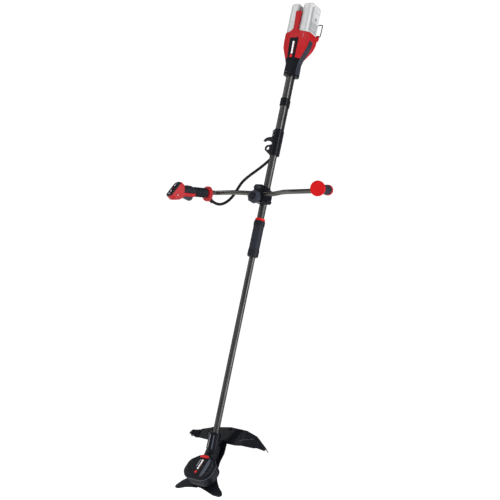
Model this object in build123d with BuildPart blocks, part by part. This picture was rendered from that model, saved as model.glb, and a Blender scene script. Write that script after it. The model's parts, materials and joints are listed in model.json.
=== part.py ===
from build123d import *
import os
from math import cos, sin, tan, radians, degrees, atan2

# Battery brush cutter with a bull-horn handlebar.
# +Z runs up the shaft to the battery end, -Y is the upper (sky) side, +X is the operator's left.
# The origin is the centre of the harness eyelet.

os.makedirs("parts", exist_ok=True)

# ---------------------------------------------------------------- driving dimensions, mm
FIT = 0.05                     # radial play of parts that seat on each other
GAP = 0.4                      # clearance between bodies that move apart
SHAFT_X = 35.0                 # shaft axis, measured from the eyelet

UPPER_R = 15.0
LOWER_R = 12.5
TUBE_WALL = 1.6
EYELET_R = 8.0

COUPLING_TOP = -313.0
COUPLING_BOTTOM = -464.0
UPPER_TUBE_END = -345.0
LOWER_TUBE_TOP = -352.0
LOWER_TUBE_END = -1240.0
UPPER_TUBE_TOP = 430.0

NECK_BOTTOM = 320.0
NECK_TOP = 394.0
DECK = 511.0                   # top of the tail housing, where the packs stand
SHELL_SPLIT_Y = 14.0
SHELL_WALL = 3.0

TOWER_HALF = 11.6
TOWER_TOP = 602.0
TOWER_FRONT = -28.0
TOWER_LEAN = 9.0                # how much further forward the tower top stands
TOWER_BACK = 50.0
PACK_THICK = 44.5
PACK_FRONT = -21.8
PACK_BACK = 57.5
PACK_TOP = 643.0
PACK_BEVEL = 11.0
RAIL_HALF = 21.0
RAIL_Y = 16.0
RAIL_DEPTH = 3.0

BAR_R = 9.5
BAR_WALL = 1.8
BAR_Y = -45.0
BAR_Z = -209.0
CLAMP_HALF_X = 22.0
CLAMP_TOP = -174.0
CLAMP_BOTTOM = -244.0
KNOB_Z = -231.0
KNOB_R = 28.0

HEAD_LEAN = 56.2               # angle between the blade spindle and the shaft
BLADE_R = 127.5
BLADE_BORE_R = 12.7
BLADE_THICK = 1.8
BLADE_SPIN = -146.4
SPINDLE_R = 6.0


# ---------------------------------------------------------------- planes and small helpers
def level(z):
    """Plane across the shaft at height z, with its origin on the shaft axis."""
    return Plane(origin=(SHAFT_X, 0, z))


def facing(y, x=SHAFT_X, z=0.0):
    """Plane that faces the upper side (-Y), with local x along X and local y along Z."""
    return Plane(origin=(x, y, z), x_dir=(1, 0, 0), z_dir=(0, -1, 0))


def along(start, direction, distance, x_dir):
    """Plane across a straight axis, at a distance from its start."""
    return Plane(origin=Vector(*start) + Vector(*direction) * distance, x_dir=x_dir, z_dir=direction)


def unit(x, y, z):
    """Unit vector as a tuple."""
    v = Vector(x, y, z).normalized()
    return (v.X, v.Y, v.Z)


def save(piece, name):
    """Label a finished piece and write its STEP file."""
    piece.part.label = name
    export_step(piece.part, f"parts/{name}.step")


def ring(plane, outer, inner, length):
    """Plain ring or tube that stands on a plane."""
    with BuildPart() as piece:
        with BuildSketch(plane):
            Circle(outer)
            Circle(inner, mode=Mode.SUBTRACT)
        extrude(amount=length)
    return piece


def cap_screws(planes, head_r, head_h, shank_r, shank_l):
    """Group of socket-head screws, each head standing on its own plane."""
    with BuildPart() as screws:
        for plane in planes:
            with BuildSketch(plane):
                Circle(head_r)
            extrude(amount=head_h)
            with BuildSketch(plane.offset(head_h)):
                RegularPolygon(head_r * 0.5, 6)
            extrude(amount=-head_h * 0.6, mode=Mode.SUBTRACT)
            with BuildSketch(plane):
                Circle(shank_r)
            extrude(amount=-shank_l)
    return screws


# ---------------------------------------------------------------- shaft
upper_tube = ring(level(UPPER_TUBE_END), UPPER_R, UPPER_R - TUBE_WALL, UPPER_TUBE_TOP - UPPER_TUBE_END)
save(upper_tube, "upper_tube")

lower_tube = ring(level(LOWER_TUBE_END), LOWER_R, LOWER_R - TUBE_WALL, LOWER_TUBE_TOP - LOWER_TUBE_END)
save(lower_tube, "lower_tube")

LEAD_R = 3.5
PLUG_Z = UPPER_TUBE_END + 12
with BuildPart() as upper_motor_lead:
    with BuildSketch(level(PLUG_Z)):
        Circle(8.0)
    extrude(amount=24)
    with BuildSketch(level(PLUG_Z + 24)):
        Circle(LEAD_R)
    extrude(amount=UPPER_TUBE_TOP - PLUG_Z - 30)
save(upper_motor_lead, "upper_motor_lead")

with BuildPart() as lower_motor_lead:
    with BuildSketch(level(LOWER_TUBE_TOP - 22)):
        Circle(8.0)
    extrude(amount=28)
    with BuildSketch(level(LOWER_TUBE_TOP - 22)):
        Circle(LEAD_R)
    extrude(amount=-(LOWER_TUBE_TOP - 22 - LOWER_TUBE_END - 6))
save(lower_motor_lead, "lower_motor_lead")

# ---------------------------------------------------------------- shaft coupling
SOCKET_R = 18.5
with BuildPart() as coupling_socket:
    with BuildSketch(level(COUPLING_BOTTOM + 7)):
        Circle(SOCKET_R)
        Circle(LOWER_R + FIT, mode=Mode.SUBTRACT)
    extrude(amount=UPPER_TUBE_END - COUPLING_BOTTOM - 7)
    with BuildSketch(level(UPPER_TUBE_END)):
        Circle(SOCKET_R)
        Circle(UPPER_R + FIT, mode=Mode.SUBTRACT)
    extrude(amount=COUPLING_TOP - UPPER_TUBE_END)
save(coupling_socket, "coupling_socket")

SLEEVE_R = 21.2
SLEEVE_END_R = 22.8
with BuildPart() as coupling_sleeve:
    with BuildSketch(Plane.XZ):
        with BuildLine():
            Polyline(
                (SHAFT_X + SOCKET_R + GAP, COUPLING_TOP - 0.3),
                (SHAFT_X + SLEEVE_END_R - 1.5, COUPLING_TOP - 0.3),
                (SHAFT_X + SLEEVE_END_R, COUPLING_TOP - 2),
                (SHAFT_X + SLEEVE_END_R, COUPLING_TOP - 20),
                (SHAFT_X + SLEEVE_R, COUPLING_TOP - 26),
                (SHAFT_X + SLEEVE_R, COUPLING_BOTTOM + 34),
                (SHAFT_X + SLEEVE_END_R, COUPLING_BOTTOM + 28),
                (SHAFT_X + SLEEVE_END_R, COUPLING_BOTTOM + 3),
                (SHAFT_X + SLEEVE_END_R - 3, COUPLING_BOTTOM),
                (SHAFT_X + LOWER_R + GAP, COUPLING_BOTTOM),
                (SHAFT_X + LOWER_R + GAP, COUPLING_BOTTOM + 6),
                (SHAFT_X + SOCKET_R + GAP, COUPLING_BOTTOM + 6),
                close=True,
            )
        make_face()
    revolve(axis=Axis((SHAFT_X, 0, 0), (0, 0, 1)))
    with BuildSketch(level(COUPLING_TOP - 19)):
        with PolarLocations(SLEEVE_END_R + 1.0, 12):
            Circle(2.0)
    extrude(amount=16, mode=Mode.SUBTRACT)
save(coupling_sleeve, "coupling_sleeve")

coupling_ring = ring(level(COUPLING_TOP), 20.5, UPPER_R + FIT, 9)
save(coupling_ring, "coupling_ring")

# ---------------------------------------------------------------- tail housing
# Each section: height, half width, half width of the front face, front, corner and rear depth, bevel
HOUSING_SECTIONS = (
    (320, 27, 15, 24, 12, 37, 9),
    (372, 28, 16, 23, 10, 32, 9),
    (394, 36, 20, 22, 8, 33, 11),
    (446, 58, 27, 25, 9, 56, 12),
    (474, 60, 28, 26, 10, 64, 10),
    (DECK, 60, 28, 27, 10, 66, 9),
)


def housing_outline(half, flat, front, corner, rear, bevel):
    """Eight-sided outline of the housing, mirrored about the shaft's middle plane."""
    right = [(flat, -front), (half, -corner), (half, rear - bevel), (half - bevel, rear)]
    return right + [(-x, y) for x, y in reversed(right)]


def housing_form(inset, lowest):
    """Ruled solid through the housing sections, shrunk by the wall."""
    with BuildPart() as form:
        for z, half, flat, front, corner, rear, bevel in HOUSING_SECTIONS:
            if z >= lowest:
                with BuildSketch(level(z)):
                    shape = (half - inset, flat - inset * 0.4, front - inset, corner, rear - inset, bevel)
                    Polygon(*housing_outline(*shape), align=None)
        loft(ruled=True)
    return form


outer_form = housing_form(0.0, NECK_BOTTOM)
inner_form = housing_form(SHELL_WALL, NECK_TOP)


BAIL_Y = 69.0
BAIL_Z = 524.0
BAIL_R = 2.2
# Lug that holds the bail, seen from the side: rearward, up
LUG_OUTLINE = (
    (60, 500),
    (67, 500),
    (BAIL_Y + 5, BAIL_Z - 12),
    (BAIL_Y + 5, BAIL_Z + 2),
    (BAIL_Y + 2, BAIL_Z + 5),
    (BAIL_Y - 3, BAIL_Z + 5),
    (62, BAIL_Z - 2),
    (60, BAIL_Z - 10),
)
with BuildPart() as bail_lugs:
    for side in (-1, 1):
        with BuildSketch(Plane(origin=(SHAFT_X + side * 50.5, 0, 0), x_dir=(0, 1, 0), z_dir=(1, 0, 0))):
            Polygon(*LUG_OUTLINE, align=None)
            with Locations((BAIL_Y, BAIL_Z)):
                Circle(BAIL_R + FIT, mode=Mode.SUBTRACT)
        extrude(amount=5, both=True)
    add(outer_form.part, mode=Mode.SUBTRACT)


def housing_shell(name, keep):
    """Front or rear half of the hollow red housing; the rear half carries the bail's lugs."""
    with BuildPart() as shell:
        add(outer_form.part)
        split(bisect_by=Plane.XY.offset(NECK_TOP), keep=Keep.TOP)
        add(inner_form.part, mode=Mode.SUBTRACT)
        with BuildSketch(level(DECK - SHELL_WALL)):
            Polygon(*housing_outline(59, 27.5, 26, 10, 65, 9), align=None)
        extrude(amount=SHELL_WALL)
        with BuildSketch(level(DECK - SHELL_WALL)):
            with Locations((0, (TOWER_FRONT + TOWER_BACK) / 2)):
                Rectangle(TOWER_HALF * 2 + 0.2, TOWER_BACK - TOWER_FRONT + 0.2)
        extrude(amount=SHELL_WALL, mode=Mode.SUBTRACT)
        split(bisect_by=Plane(origin=(0, SHELL_SPLIT_Y, 0), z_dir=(0, 1, 0)), keep=keep)
        if keep == Keep.TOP:
            add(bail_lugs.part)
    save(shell, name)


housing_shell("housing_front_shell", Keep.BOTTOM)
housing_shell("housing_rear_shell", Keep.TOP)

with BuildPart() as neck_cuff:
    add(outer_form.part)
    split(bisect_by=Plane.XY.offset(NECK_TOP), keep=Keep.BOTTOM)
    with BuildSketch(level(NECK_BOTTOM - 1)):
        Circle(UPPER_R + FIT)
    extrude(amount=NECK_TOP - NECK_BOTTOM + 2, mode=Mode.SUBTRACT)
save(neck_cuff, "neck_cuff")

LABEL_LEVELS = ((NECK_TOP - 6, 17, 22), (446, 20, 25), (474, 20.5, 26), (482, 20.5, 26.2))
with BuildPart() as label_panel:
    for z, half, front in LABEL_LEVELS:
        with BuildSketch(level(z)):
            with Locations((0, -front)):
                Rectangle(half * 2, 3.0)
    loft(ruled=True)
    add(outer_form.part, mode=Mode.SUBTRACT)
save(label_panel, "label_panel")

# Grip strips: height, face half width, strip centre and half depth
STRIP_LEVELS = ((326, 27.1, 9, 17), (372, 28, 8, 15), (394, 36, 7, 14), (446, 58, 9, 15), (478, 60, 14, 12))
with BuildPart() as side_grips:
    for side in (-1, 1):
        for z, half, middle, depth in STRIP_LEVELS:
            with BuildSketch(level(z)):
                with Locations((side * half, middle)):
                    Rectangle(3.2, depth * 2)
        loft(ruled=True)
    add(outer_form.part, mode=Mode.SUBTRACT)
save(side_grips, "side_grips")

with BuildPart() as battery_tower:
    with BuildSketch(level(DECK - SHELL_WALL)):
        with Locations((0, (TOWER_FRONT + TOWER_BACK) / 2)):
            Rectangle(TOWER_HALF * 2, TOWER_BACK - TOWER_FRONT)
    with BuildSketch(level(TOWER_TOP)):
        with Locations((0, (TOWER_FRONT - TOWER_LEAN + TOWER_BACK) / 2)):
            Rectangle(TOWER_HALF * 2, TOWER_BACK - TOWER_FRONT + TOWER_LEAN)
    loft()
    top_edges = battery_tower.faces().sort_by(Axis.Z)[-1].edges().filter_by(Axis.X)
    fillet(top_edges, 9)
    with BuildSketch(level(DECK - SHELL_WALL)):
        with Locations((0, (TOWER_FRONT + TOWER_BACK) / 2)):
            Rectangle((TOWER_HALF - 2.5) * 2, TOWER_BACK - TOWER_FRONT - 8)
    extrude(amount=TOWER_TOP - DECK - 14, mode=Mode.SUBTRACT)
    with BuildSketch(level(DECK + 10)):
        for side in (-1, 1):
            with Locations((side * (TOWER_HALF + RAIL_DEPTH / 2), RAIL_Y)):
                Rectangle(RAIL_DEPTH, RAIL_HALF * 2)
    extrude(amount=TOWER_TOP - DECK - 24)
save(battery_tower, "battery_tower")

with BuildPart() as terminal_blocks:
    for side in (-1, 1):
        with BuildSketch(level(DECK)):
            with GridLocations(0, 12, 1, 3):
                with Locations((side * 22, RAIL_Y)):
                    Rectangle(8, 1.6)
        extrude(amount=12)
save(terminal_blocks, "terminal_blocks")

with BuildPart() as control_board:
    with BuildSketch(level(448)):
        with Locations((0, 14)):
            Rectangle(78, 42)
    extrude(amount=3)
    with BuildSketch(level(451)):
        with Locations((0, 14)):
            with GridLocations(14, 14, 5, 3):
                Rectangle(9, 8)
    extrude(amount=9)
save(control_board, "control_board")

# ---------------------------------------------------------------- battery packs and their latches
PACK_INNER = TOWER_HALF + GAP
LATCH_Z = 578.0
for side, word in ((-1, "right"), (1, "left")):
    middle = side * (PACK_INNER + PACK_THICK / 2)
    outer_face = side * (PACK_INNER + PACK_THICK)
    with BuildPart() as pack:
        with BuildSketch(level(DECK + GAP)):
            with Locations((middle, (PACK_FRONT + PACK_BACK) / 2)):
                Rectangle(PACK_THICK, PACK_BACK - PACK_FRONT)
        extrude(amount=PACK_TOP - DECK - GAP)
        outside = pack.edges().filter_by(Axis.Z).group_by(Axis.X)[-1 if side > 0 else 0]
        chamfer(outside, PACK_BEVEL)
        chamfer(pack.faces().sort_by(Axis.Z)[-1].edges(), 7)
        with BuildSketch(level(DECK)):
            with Locations((side * PACK_INNER, RAIL_Y)):
                Rectangle((RAIL_DEPTH + GAP) * 2, (RAIL_HALF + GAP) * 2)
        extrude(amount=TOWER_TOP - DECK - 12, mode=Mode.SUBTRACT)
        with BuildSketch(level(DECK)):
            with Locations((side * 22, RAIL_Y)):
                Rectangle(12, 30)
        extrude(amount=15, mode=Mode.SUBTRACT)
        with BuildSketch(Plane(origin=(SHAFT_X + outer_face, 18, LATCH_Z), z_dir=(side, 0, 0))):
            Rectangle(24, 30)
        extrude(amount=-9, mode=Mode.SUBTRACT)
    save(pack, f"battery_{word}")
    with BuildPart() as button:
        with BuildSketch(Plane(origin=(SHAFT_X + outer_face - side * 4, 18, LATCH_Z), z_dir=(side, 0, 0))):
            RectangleRounded(24 - 2 * GAP, 30 - 2 * GAP, 3)
        extrude(amount=5.5)
    save(button, f"battery_latch_{word}")

# ---------------------------------------------------------------- hanging bail
BAIL_HALF = 62.5
BAIL_HEIGHT = 55.0
with BuildPart() as hanging_bail:
    with BuildLine():
        FilletPolyline(
            (SHAFT_X - BAIL_HALF + 12, BAIL_Y, BAIL_Z),
            (SHAFT_X - BAIL_HALF, BAIL_Y, BAIL_Z),
            (SHAFT_X - BAIL_HALF, BAIL_Y + 2, BAIL_Z + BAIL_HEIGHT),
            (SHAFT_X + BAIL_HALF, BAIL_Y + 2, BAIL_Z + BAIL_HEIGHT),
            (SHAFT_X + BAIL_HALF, BAIL_Y, BAIL_Z),
            (SHAFT_X + BAIL_HALF - 12, BAIL_Y, BAIL_Z),
            radius=6,
        )
    with BuildSketch(Plane(origin=(SHAFT_X - BAIL_HALF + 12, BAIL_Y, BAIL_Z), z_dir=(-1, 0, 0))):
        Circle(BAIL_R)
    sweep()
save(hanging_bail, "hanging_bail")

# ---------------------------------------------------------------- harness bracket and cable clip
CABLE_R = 6.0
RUN_X = 2.0                    # the cable's run behind the tube, from the shaft axis
RUN_Y = 24.2
RUN_ANGLE = degrees(atan2(RUN_Y, RUN_X))
COLLAR_R = 17.8


def cable_band(z, radius, length):
    """Band round the tube with a channel behind it that holds the cable."""
    with BuildPart() as piece:
        with BuildSketch(level(z)):
            Circle(radius)
            with Locations((RUN_X / 2, RUN_Y / 2)):
                Rectangle(RUN_Y, CABLE_R * 2 + 3, rotation=RUN_ANGLE)
            with Locations((RUN_X, RUN_Y)):
                Circle(CABLE_R + 2.4)
            Circle(UPPER_R + FIT, mode=Mode.SUBTRACT)
            with Locations((RUN_X, RUN_Y)):
                Circle(CABLE_R + 0.3, mode=Mode.SUBTRACT)
        extrude(amount=length)
    return piece


with BuildPart() as harness_collar:
    with BuildSketch(level(-33)):
        Circle(COLLAR_R)
        with Locations((13.5, 7.5)):
            Circle(8.5)
        Circle(UPPER_R + FIT, mode=Mode.SUBTRACT)
    extrude(amount=52)
    chamfer(harness_collar.faces().sort_by(Axis.Z)[0].outer_wire().edges(), 1)
    add(cable_band(19, 16.8, 31).part)
    add(cable_band(50, COLLAR_R, 31).part)
    with BuildSketch(level(50)):
        with Locations((-20, 4)):
            Rectangle(12, 13)
        Circle(UPPER_R + FIT, mode=Mode.SUBTRACT)
    extrude(amount=31)
    with BuildSketch(level(49)):
        with Locations((-22, 4)):
            Rectangle(18, 2.0)
    extrude(amount=34, mode=Mode.SUBTRACT)
save(harness_collar, "harness_collar")

with BuildPart() as harness_ear:
    with BuildSketch(facing(3.0, x=0)):
        with BuildLine():
            Polyline((-9.5, -10.5), (SHAFT_X - 16, -32), (SHAFT_X - 16, 18), (0, 14.5), close=True)
        make_face()
        Circle(14.5)
        Circle(EYELET_R, mode=Mode.SUBTRACT)
    extrude(amount=6)
    with BuildSketch(level(-40)):
        Circle(COLLAR_R + FIT)
    extrude(amount=80, mode=Mode.SUBTRACT)
save(harness_ear, "harness_ear")

HOOK_OUTLINE = (
    (20, 49),
    (1, 49),
    (-14, 46),
    (-24, 38),
    (-28, 31),
    (-24, 29),
    (-15, 34),
    (-4, 34),
    (7, 30),
    (20, 21),
)
with BuildPart() as harness_hook:
    with BuildSketch(facing(5, x=0)):
        Polygon(*HOOK_OUTLINE, align=None)
    extrude(amount=10)
    fillet(harness_hook.edges().filter_by(Axis.Y), 1.5)
    with BuildSketch(level(20)):
        Circle(16.8 + FIT)
    extrude(amount=31, mode=Mode.SUBTRACT)
save(harness_hook, "harness_hook")

harness_bolt_planes = [Plane(origin=(SHAFT_X - 22, -2.6, z), z_dir=(0, -1, 0)) for z in (58, 73)]
harness_screws = cap_screws(harness_bolt_planes, 4.0, 4.0, 2.4, 0.1)
save(harness_screws, "harness_screws")

CLIP_Z = 186.0
with BuildPart() as cable_clip:
    add(cable_band(CLIP_Z, 18.5, 32).part)
    with BuildSketch(level(CLIP_Z)):
        with Locations((-18, 0)):
            Rectangle(9, 1.6)
    extrude(amount=32, mode=Mode.SUBTRACT)
save(cable_clip, "cable_clip")

# ---------------------------------------------------------------- handlebar clamp
CLAMP_BORE = UPPER_R + FIT
CLAMP_DEPTH_FRONT = BAR_Y + 0.4
CAP_FRONT = -63.0
STUD_R = 4.0


with BuildPart() as shaft_bore:
    with BuildSketch(level(CLAMP_BOTTOM - 10)):
        Circle(CLAMP_BORE)
    extrude(amount=110)

with BuildPart() as bar_bore:
    with BuildSketch(Plane(origin=(SHAFT_X - 60, BAR_Y, BAR_Z), z_dir=(1, 0, 0))):
        Circle(BAR_R + 0.08)
    extrude(amount=120)

CLAMP_MIDDLE = (CLAMP_TOP + CLAMP_BOTTOM) / 2
CLAMP_HEIGHT = CLAMP_TOP - CLAMP_BOTTOM
with BuildPart() as clamp_saddle:
    with BuildSketch(facing(-0.4, z=CLAMP_MIDDLE)):
        RectangleRounded(CLAMP_HALF_X * 2, CLAMP_HEIGHT, 6)
    extrude(amount=-CLAMP_DEPTH_FRONT - 0.4)
    add(shaft_bore.part, mode=Mode.SUBTRACT)
    add(bar_bore.part, mode=Mode.SUBTRACT)
    with BuildSketch(facing(CLAMP_DEPTH_FRONT - 5, z=KNOB_Z)):
        Circle(STUD_R + FIT)
    extrude(amount=-28, mode=Mode.SUBTRACT)
save(clamp_saddle, "clamp_saddle")

with BuildPart() as clamp_back:
    with BuildSketch(facing(24, z=CLAMP_MIDDLE)):
        RectangleRounded(CLAMP_HALF_X * 2, CLAMP_HEIGHT - 12, 6)
    extrude(amount=23.6)
    chamfer(clamp_back.faces().sort_by(Axis.Y)[-1].edges(), 5)
    add(shaft_bore.part, mode=Mode.SUBTRACT)
save(clamp_back, "clamp_back")

with BuildPart() as clamp_cap:
    with BuildSketch(facing(CLAMP_DEPTH_FRONT - 0.8, z=CLAMP_MIDDLE + 2)):
        RectangleRounded(CLAMP_HALF_X * 2 - 3, CLAMP_HEIGHT - 4, 7)
    extrude(amount=CLAMP_DEPTH_FRONT - 0.8 - CAP_FRONT)
    chamfer(clamp_cap.faces().sort_by(Axis.Y)[0].edges(), 4)
    add(bar_bore.part, mode=Mode.SUBTRACT)
    with BuildSketch(facing(CLAMP_DEPTH_FRONT + 5, z=KNOB_Z)):
        Circle(STUD_R + FIT)
    extrude(amount=40, mode=Mode.SUBTRACT)
save(clamp_cap, "clamp_cap")

cap_bolt_planes = [facing(CAP_FRONT - 0.1, x=SHAFT_X + dx, z=CLAMP_TOP - 14) for dx in (-13, 13)]
back_bolt_planes = [
    Plane(origin=(SHAFT_X + dx, 24.1, z), z_dir=(0, 1, 0))
    for dx in (-15, 15)
    for z in (CLAMP_BOTTOM + 17, CLAMP_TOP - 17)
]
SIDE_BOLT_X = SHAFT_X + CLAMP_HALF_X + 0.1
with BuildPart() as clamp_bolts:
    add(cap_screws(cap_bolt_planes, 4.6, 4.5, 2.5, 0.05).part)
    add(cap_screws(back_bolt_planes, 4.2, 4.0, 2.5, 0.05).part)
    with BuildSketch(facing(-24.2, z=KNOB_Z)):
        Circle(STUD_R)
    extrude(amount=54)
    with BuildSketch(Plane(origin=(SIDE_BOLT_X, -10, KNOB_Z), z_dir=(1, 0, 0))):
        RegularPolygon(5.5, 6)
    extrude(amount=4)
    with BuildSketch(Plane(origin=(SIDE_BOLT_X + 4, -10, KNOB_Z), z_dir=(1, 0, 0))):
        Circle(2.9)
    extrude(amount=7)
save(clamp_bolts, "clamp_bolts")

with BuildPart() as clamp_knob:
    with BuildSketch(facing(CAP_FRONT - 0.8, z=KNOB_Z)):
        Circle(KNOB_R - 3)
    extrude(amount=22)
    fillet(clamp_knob.faces().sort_by(Axis.Y)[0].edges(), 5)
    with BuildSketch(facing(CAP_FRONT - 4, z=KNOB_Z)):
        with PolarLocations(KNOB_R - 5.5, 8):
            Circle(5.0)
    extrude(amount=15)
    with BuildSketch(facing(CAP_FRONT - 0.5, z=KNOB_Z)):
        Circle(STUD_R + GAP)
    extrude(amount=16.5, mode=Mode.SUBTRACT)
save(clamp_knob, "clamp_knob")

# ---------------------------------------------------------------- handlebar tube
RIGHT_BEND = (-190.0, BAR_Y, BAR_Z - 6)
RIGHT_KINK = (-95.0, BAR_Y, BAR_Z)
LEFT_KINK = (104.0, BAR_Y, BAR_Z)
LEFT_STEP = (152.0, BAR_Y - 2, BAR_Z + 10)
LEFT_BEND = (374.0, -60.0, -189.0)
RIGHT_AXIS = unit(-0.25, -0.93, -0.22)
LEFT_AXIS = unit(0.23, -0.94, -0.24)
RIGHT_TUBE_LENGTH = 108.0
LEFT_TUBE_LENGTH = 152.0


def right_grip(distance):
    """Plane across the trigger grip, with local x towards the trigger."""
    return along(RIGHT_BEND, RIGHT_AXIS, distance, (0, 0, -1))


def left_grip_plane(distance):
    """Plane across the plain grip."""
    return along(LEFT_BEND, LEFT_AXIS, distance, (0, 0, -1))


RIGHT_TUBE_END = right_grip(RIGHT_TUBE_LENGTH).origin
LEFT_TUBE_END = left_grip_plane(LEFT_TUBE_LENGTH).origin
with BuildPart() as handlebar_tube:
    with BuildLine():
        FilletPolyline(
            RIGHT_TUBE_END,
            RIGHT_BEND,
            RIGHT_KINK,
            LEFT_KINK,
            LEFT_STEP,
            LEFT_BEND,
            LEFT_TUBE_END,
            radius=[28, 200, 150, 150, 26],
        )
    with BuildSketch(Plane(origin=RIGHT_TUBE_END, z_dir=Vector(*RIGHT_AXIS) * -1)):
        Circle(BAR_R)
        Circle(BAR_R - BAR_WALL, mode=Mode.SUBTRACT)
    sweep()
save(handlebar_tube, "handlebar_tube")

# ---------------------------------------------------------------- plain grip (operator's left)
with BuildPart() as left_grip_rubber:
    with BuildSketch(left_grip_plane(36)):
        Circle(18.5)
    with BuildSketch(left_grip_plane(95)):
        Circle(17.0)
    with BuildSketch(left_grip_plane(152)):
        Circle(18.5)
    loft()
    with BuildSketch(left_grip_plane(30)):
        Circle(BAR_R + FIT)
    extrude(amount=130, mode=Mode.SUBTRACT)
save(left_grip_rubber, "left_grip_rubber")

with BuildPart() as left_grip_ends:
    add(ring(left_grip_plane(27), 20.8, BAR_R + FIT, 8.9).part)
    with BuildSketch(left_grip_plane(152.1)):
        Circle(29.5)
    extrude(amount=7)
    fillet(left_grip_ends.edges().filter_by(GeomType.CIRCLE).group_by(SortBy.RADIUS)[-1], 2.5)
save(left_grip_ends, "left_grip_ends")

# ---------------------------------------------------------------- trigger grip (operator's right)
GRIP_START = 46.0
FLANGE_DROP = 7.0
GRIP_END = 172.0
GRIP_HALF_X = 19.5
GRIP_DROP = 4.0                 # the grip is moulded lower than the tube inside it
GRIP_HALF_Y = 17.5
SLOT_HALF = 8.0
TRIGGER_START = 112.0
PIVOT_OUT = 17.0
PIVOT_AT = 164.0

# Control cable: clipped to the tube, then a free loop behind the handlebar into the flange.
CABLE_ROUTE = (
    (37, 24.2, 22),
    (37, 24.4, 2),
    (27, 25, -18),
    (6, 24, -39),
    (-14, 20, -63),
    (-41, 14, -91),
    (-72, 7, -120),
    (-96, 0, -150),
    (-108, -6, -186),
    (-117, -12, -216),
    (-134, -20, -244),
    (-158, -30, -261),
    (-180, -43, -259),
    (-193, -59, -249),
    (-197.5, -74, -240),
)


def route_radii(points):
    """Arc radius at each corner, as large as its two runs allow."""
    radii = []
    for before, corner, after in zip(points, points[1:], points[2:]):
        run_in = Vector(*corner) - Vector(*before)
        run_out = Vector(*after) - Vector(*corner)
        turn = radians(run_in.get_angle(run_out))
        radii.append(0.45 * min(run_in.length, run_out.length) / tan(turn / 2))
    return radii


CABLE_RADII = route_radii(CABLE_ROUTE)
ENTRY_DIRECTION = Vector(*CABLE_ROUTE[-1]) - Vector(*CABLE_ROUTE[-2])
CABLE_ENTRY = Plane(origin=CABLE_ROUTE[-1], z_dir=ENTRY_DIRECTION)

with BuildPart() as cable_run:
    with BuildSketch(Plane(origin=(SHAFT_X + RUN_X, RUN_Y, CABLE_ROUTE[0][2]))):
        Circle(CABLE_R)
    extrude(amount=NECK_BOTTOM - CABLE_ROUTE[0][2])
save(cable_run, "cable_run")

with BuildPart() as cable_loop:
    with BuildLine():
        FilletPolyline(*CABLE_ROUTE, radius=CABLE_RADII)
    with BuildSketch(Plane(origin=CABLE_ROUTE[0], z_dir=Vector(*CABLE_ROUTE[1]) - Vector(*CABLE_ROUTE[0]))):
        Circle(CABLE_R)
    sweep()
save(cable_loop, "cable_loop")

FLANGE_THICK = 17.0
with BuildPart() as trigger_grip_flange:
    with BuildSketch(right_grip(GRIP_START - 0.1 - FLANGE_THICK)):
        with Locations((FLANGE_DROP, 0)):
            Ellipse(31, 29)
        Circle(BAR_R + FIT, mode=Mode.SUBTRACT)
    extrude(amount=FLANGE_THICK)
    fillet(trigger_grip_flange.edges().group_by(SortBy.LENGTH)[-1], 4)
    with BuildSketch(CABLE_ENTRY.offset(-16)):
        Circle(CABLE_R + 1.5)
    extrude(amount=22, mode=Mode.SUBTRACT)
save(trigger_grip_flange, "trigger_grip_flange")


def grip_half(name, side):
    """One half of the trigger grip's body, with the trigger slot cut out."""
    with BuildPart() as half:
        for at, grow in ((GRIP_START, 0), ((GRIP_START + GRIP_END) / 2, -1), (GRIP_END, 1)):
            with BuildSketch(right_grip(at)):
                with Locations((GRIP_DROP, 0)):
                    Ellipse(GRIP_HALF_X + grow, GRIP_HALF_Y + grow)
        loft()
        with BuildSketch(right_grip(GRIP_START - 1)):
            Circle(BAR_R + FIT)
        extrude(amount=RIGHT_TUBE_LENGTH - GRIP_START + 2, mode=Mode.SUBTRACT)
        with BuildSketch(right_grip(TRIGGER_START)):
            Rectangle(60, SLOT_HALF * 2)
        extrude(amount=GRIP_END - TRIGGER_START + 2, mode=Mode.SUBTRACT)
        with BuildSketch(right_grip(GRIP_START - 2)):
            with Locations((0, -side * 30)):
                Rectangle(60, 60)
        extrude(amount=GRIP_END - GRIP_START + 6, mode=Mode.SUBTRACT)
    save(half, name)


grip_half("trigger_grip_inner", 1)
grip_half("trigger_grip_outer", -1)


def grip_side(offset):
    """Plane through the trigger grip's axis: local x along the grip, local y away from the trigger."""
    base = right_grip(0)
    across = base.y_dir * -1
    return Plane(origin=base.origin + across * offset, x_dir=base.z_dir, z_dir=across)


TRIGGER_OUTLINE = (
    (170, -13),
    (171, -22),
    (170, -31),
    (150, -37),
    (131, -43),
    (121, -36),
    (119, -28),
    (124, -20),
    (158, -11),
)
with BuildPart() as trigger:
    with BuildSketch(grip_side(-SLOT_HALF + GAP)):
        Polygon(*TRIGGER_OUTLINE, align=None)
        with Locations((PIVOT_AT, -PIVOT_OUT)):
            Circle(2.05, mode=Mode.SUBTRACT)
    extrude(amount=(SLOT_HALF - GAP) * 2)
save(trigger, "trigger")

with BuildPart() as trigger_switch:
    with BuildSketch(grip_side(-6)):
        with Locations((130, 1)):
            Rectangle(34, 9)
    extrude(amount=12)
save(trigger_switch, "trigger_switch")

SPRING_AT = 132.0
with BuildPart() as trigger_spring:
    with BuildSketch(grip_side(-2.5)):
        with Locations((SPRING_AT, -10.5)):
            Rectangle(5, 13)
    extrude(amount=5)
save(trigger_spring, "trigger_spring")

LEVER_AT = 122.0
LEVER_OUT = 11.5
LEVER_OUTLINE = ((117, 9), (117, 14.5), (128, 18), (150, 19.5), (160, 16.5), (160, 9))
with BuildPart() as lock_lever:
    with BuildSketch(grip_side(-SLOT_HALF + 1.5)):
        Polygon(*LEVER_OUTLINE, align=None)
        with Locations((LEVER_AT, LEVER_OUT)):
            Circle(1.55, mode=Mode.SUBTRACT)
    extrude(amount=(SLOT_HALF - 1.5) * 2)
save(lock_lever, "lock_lever")

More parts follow.
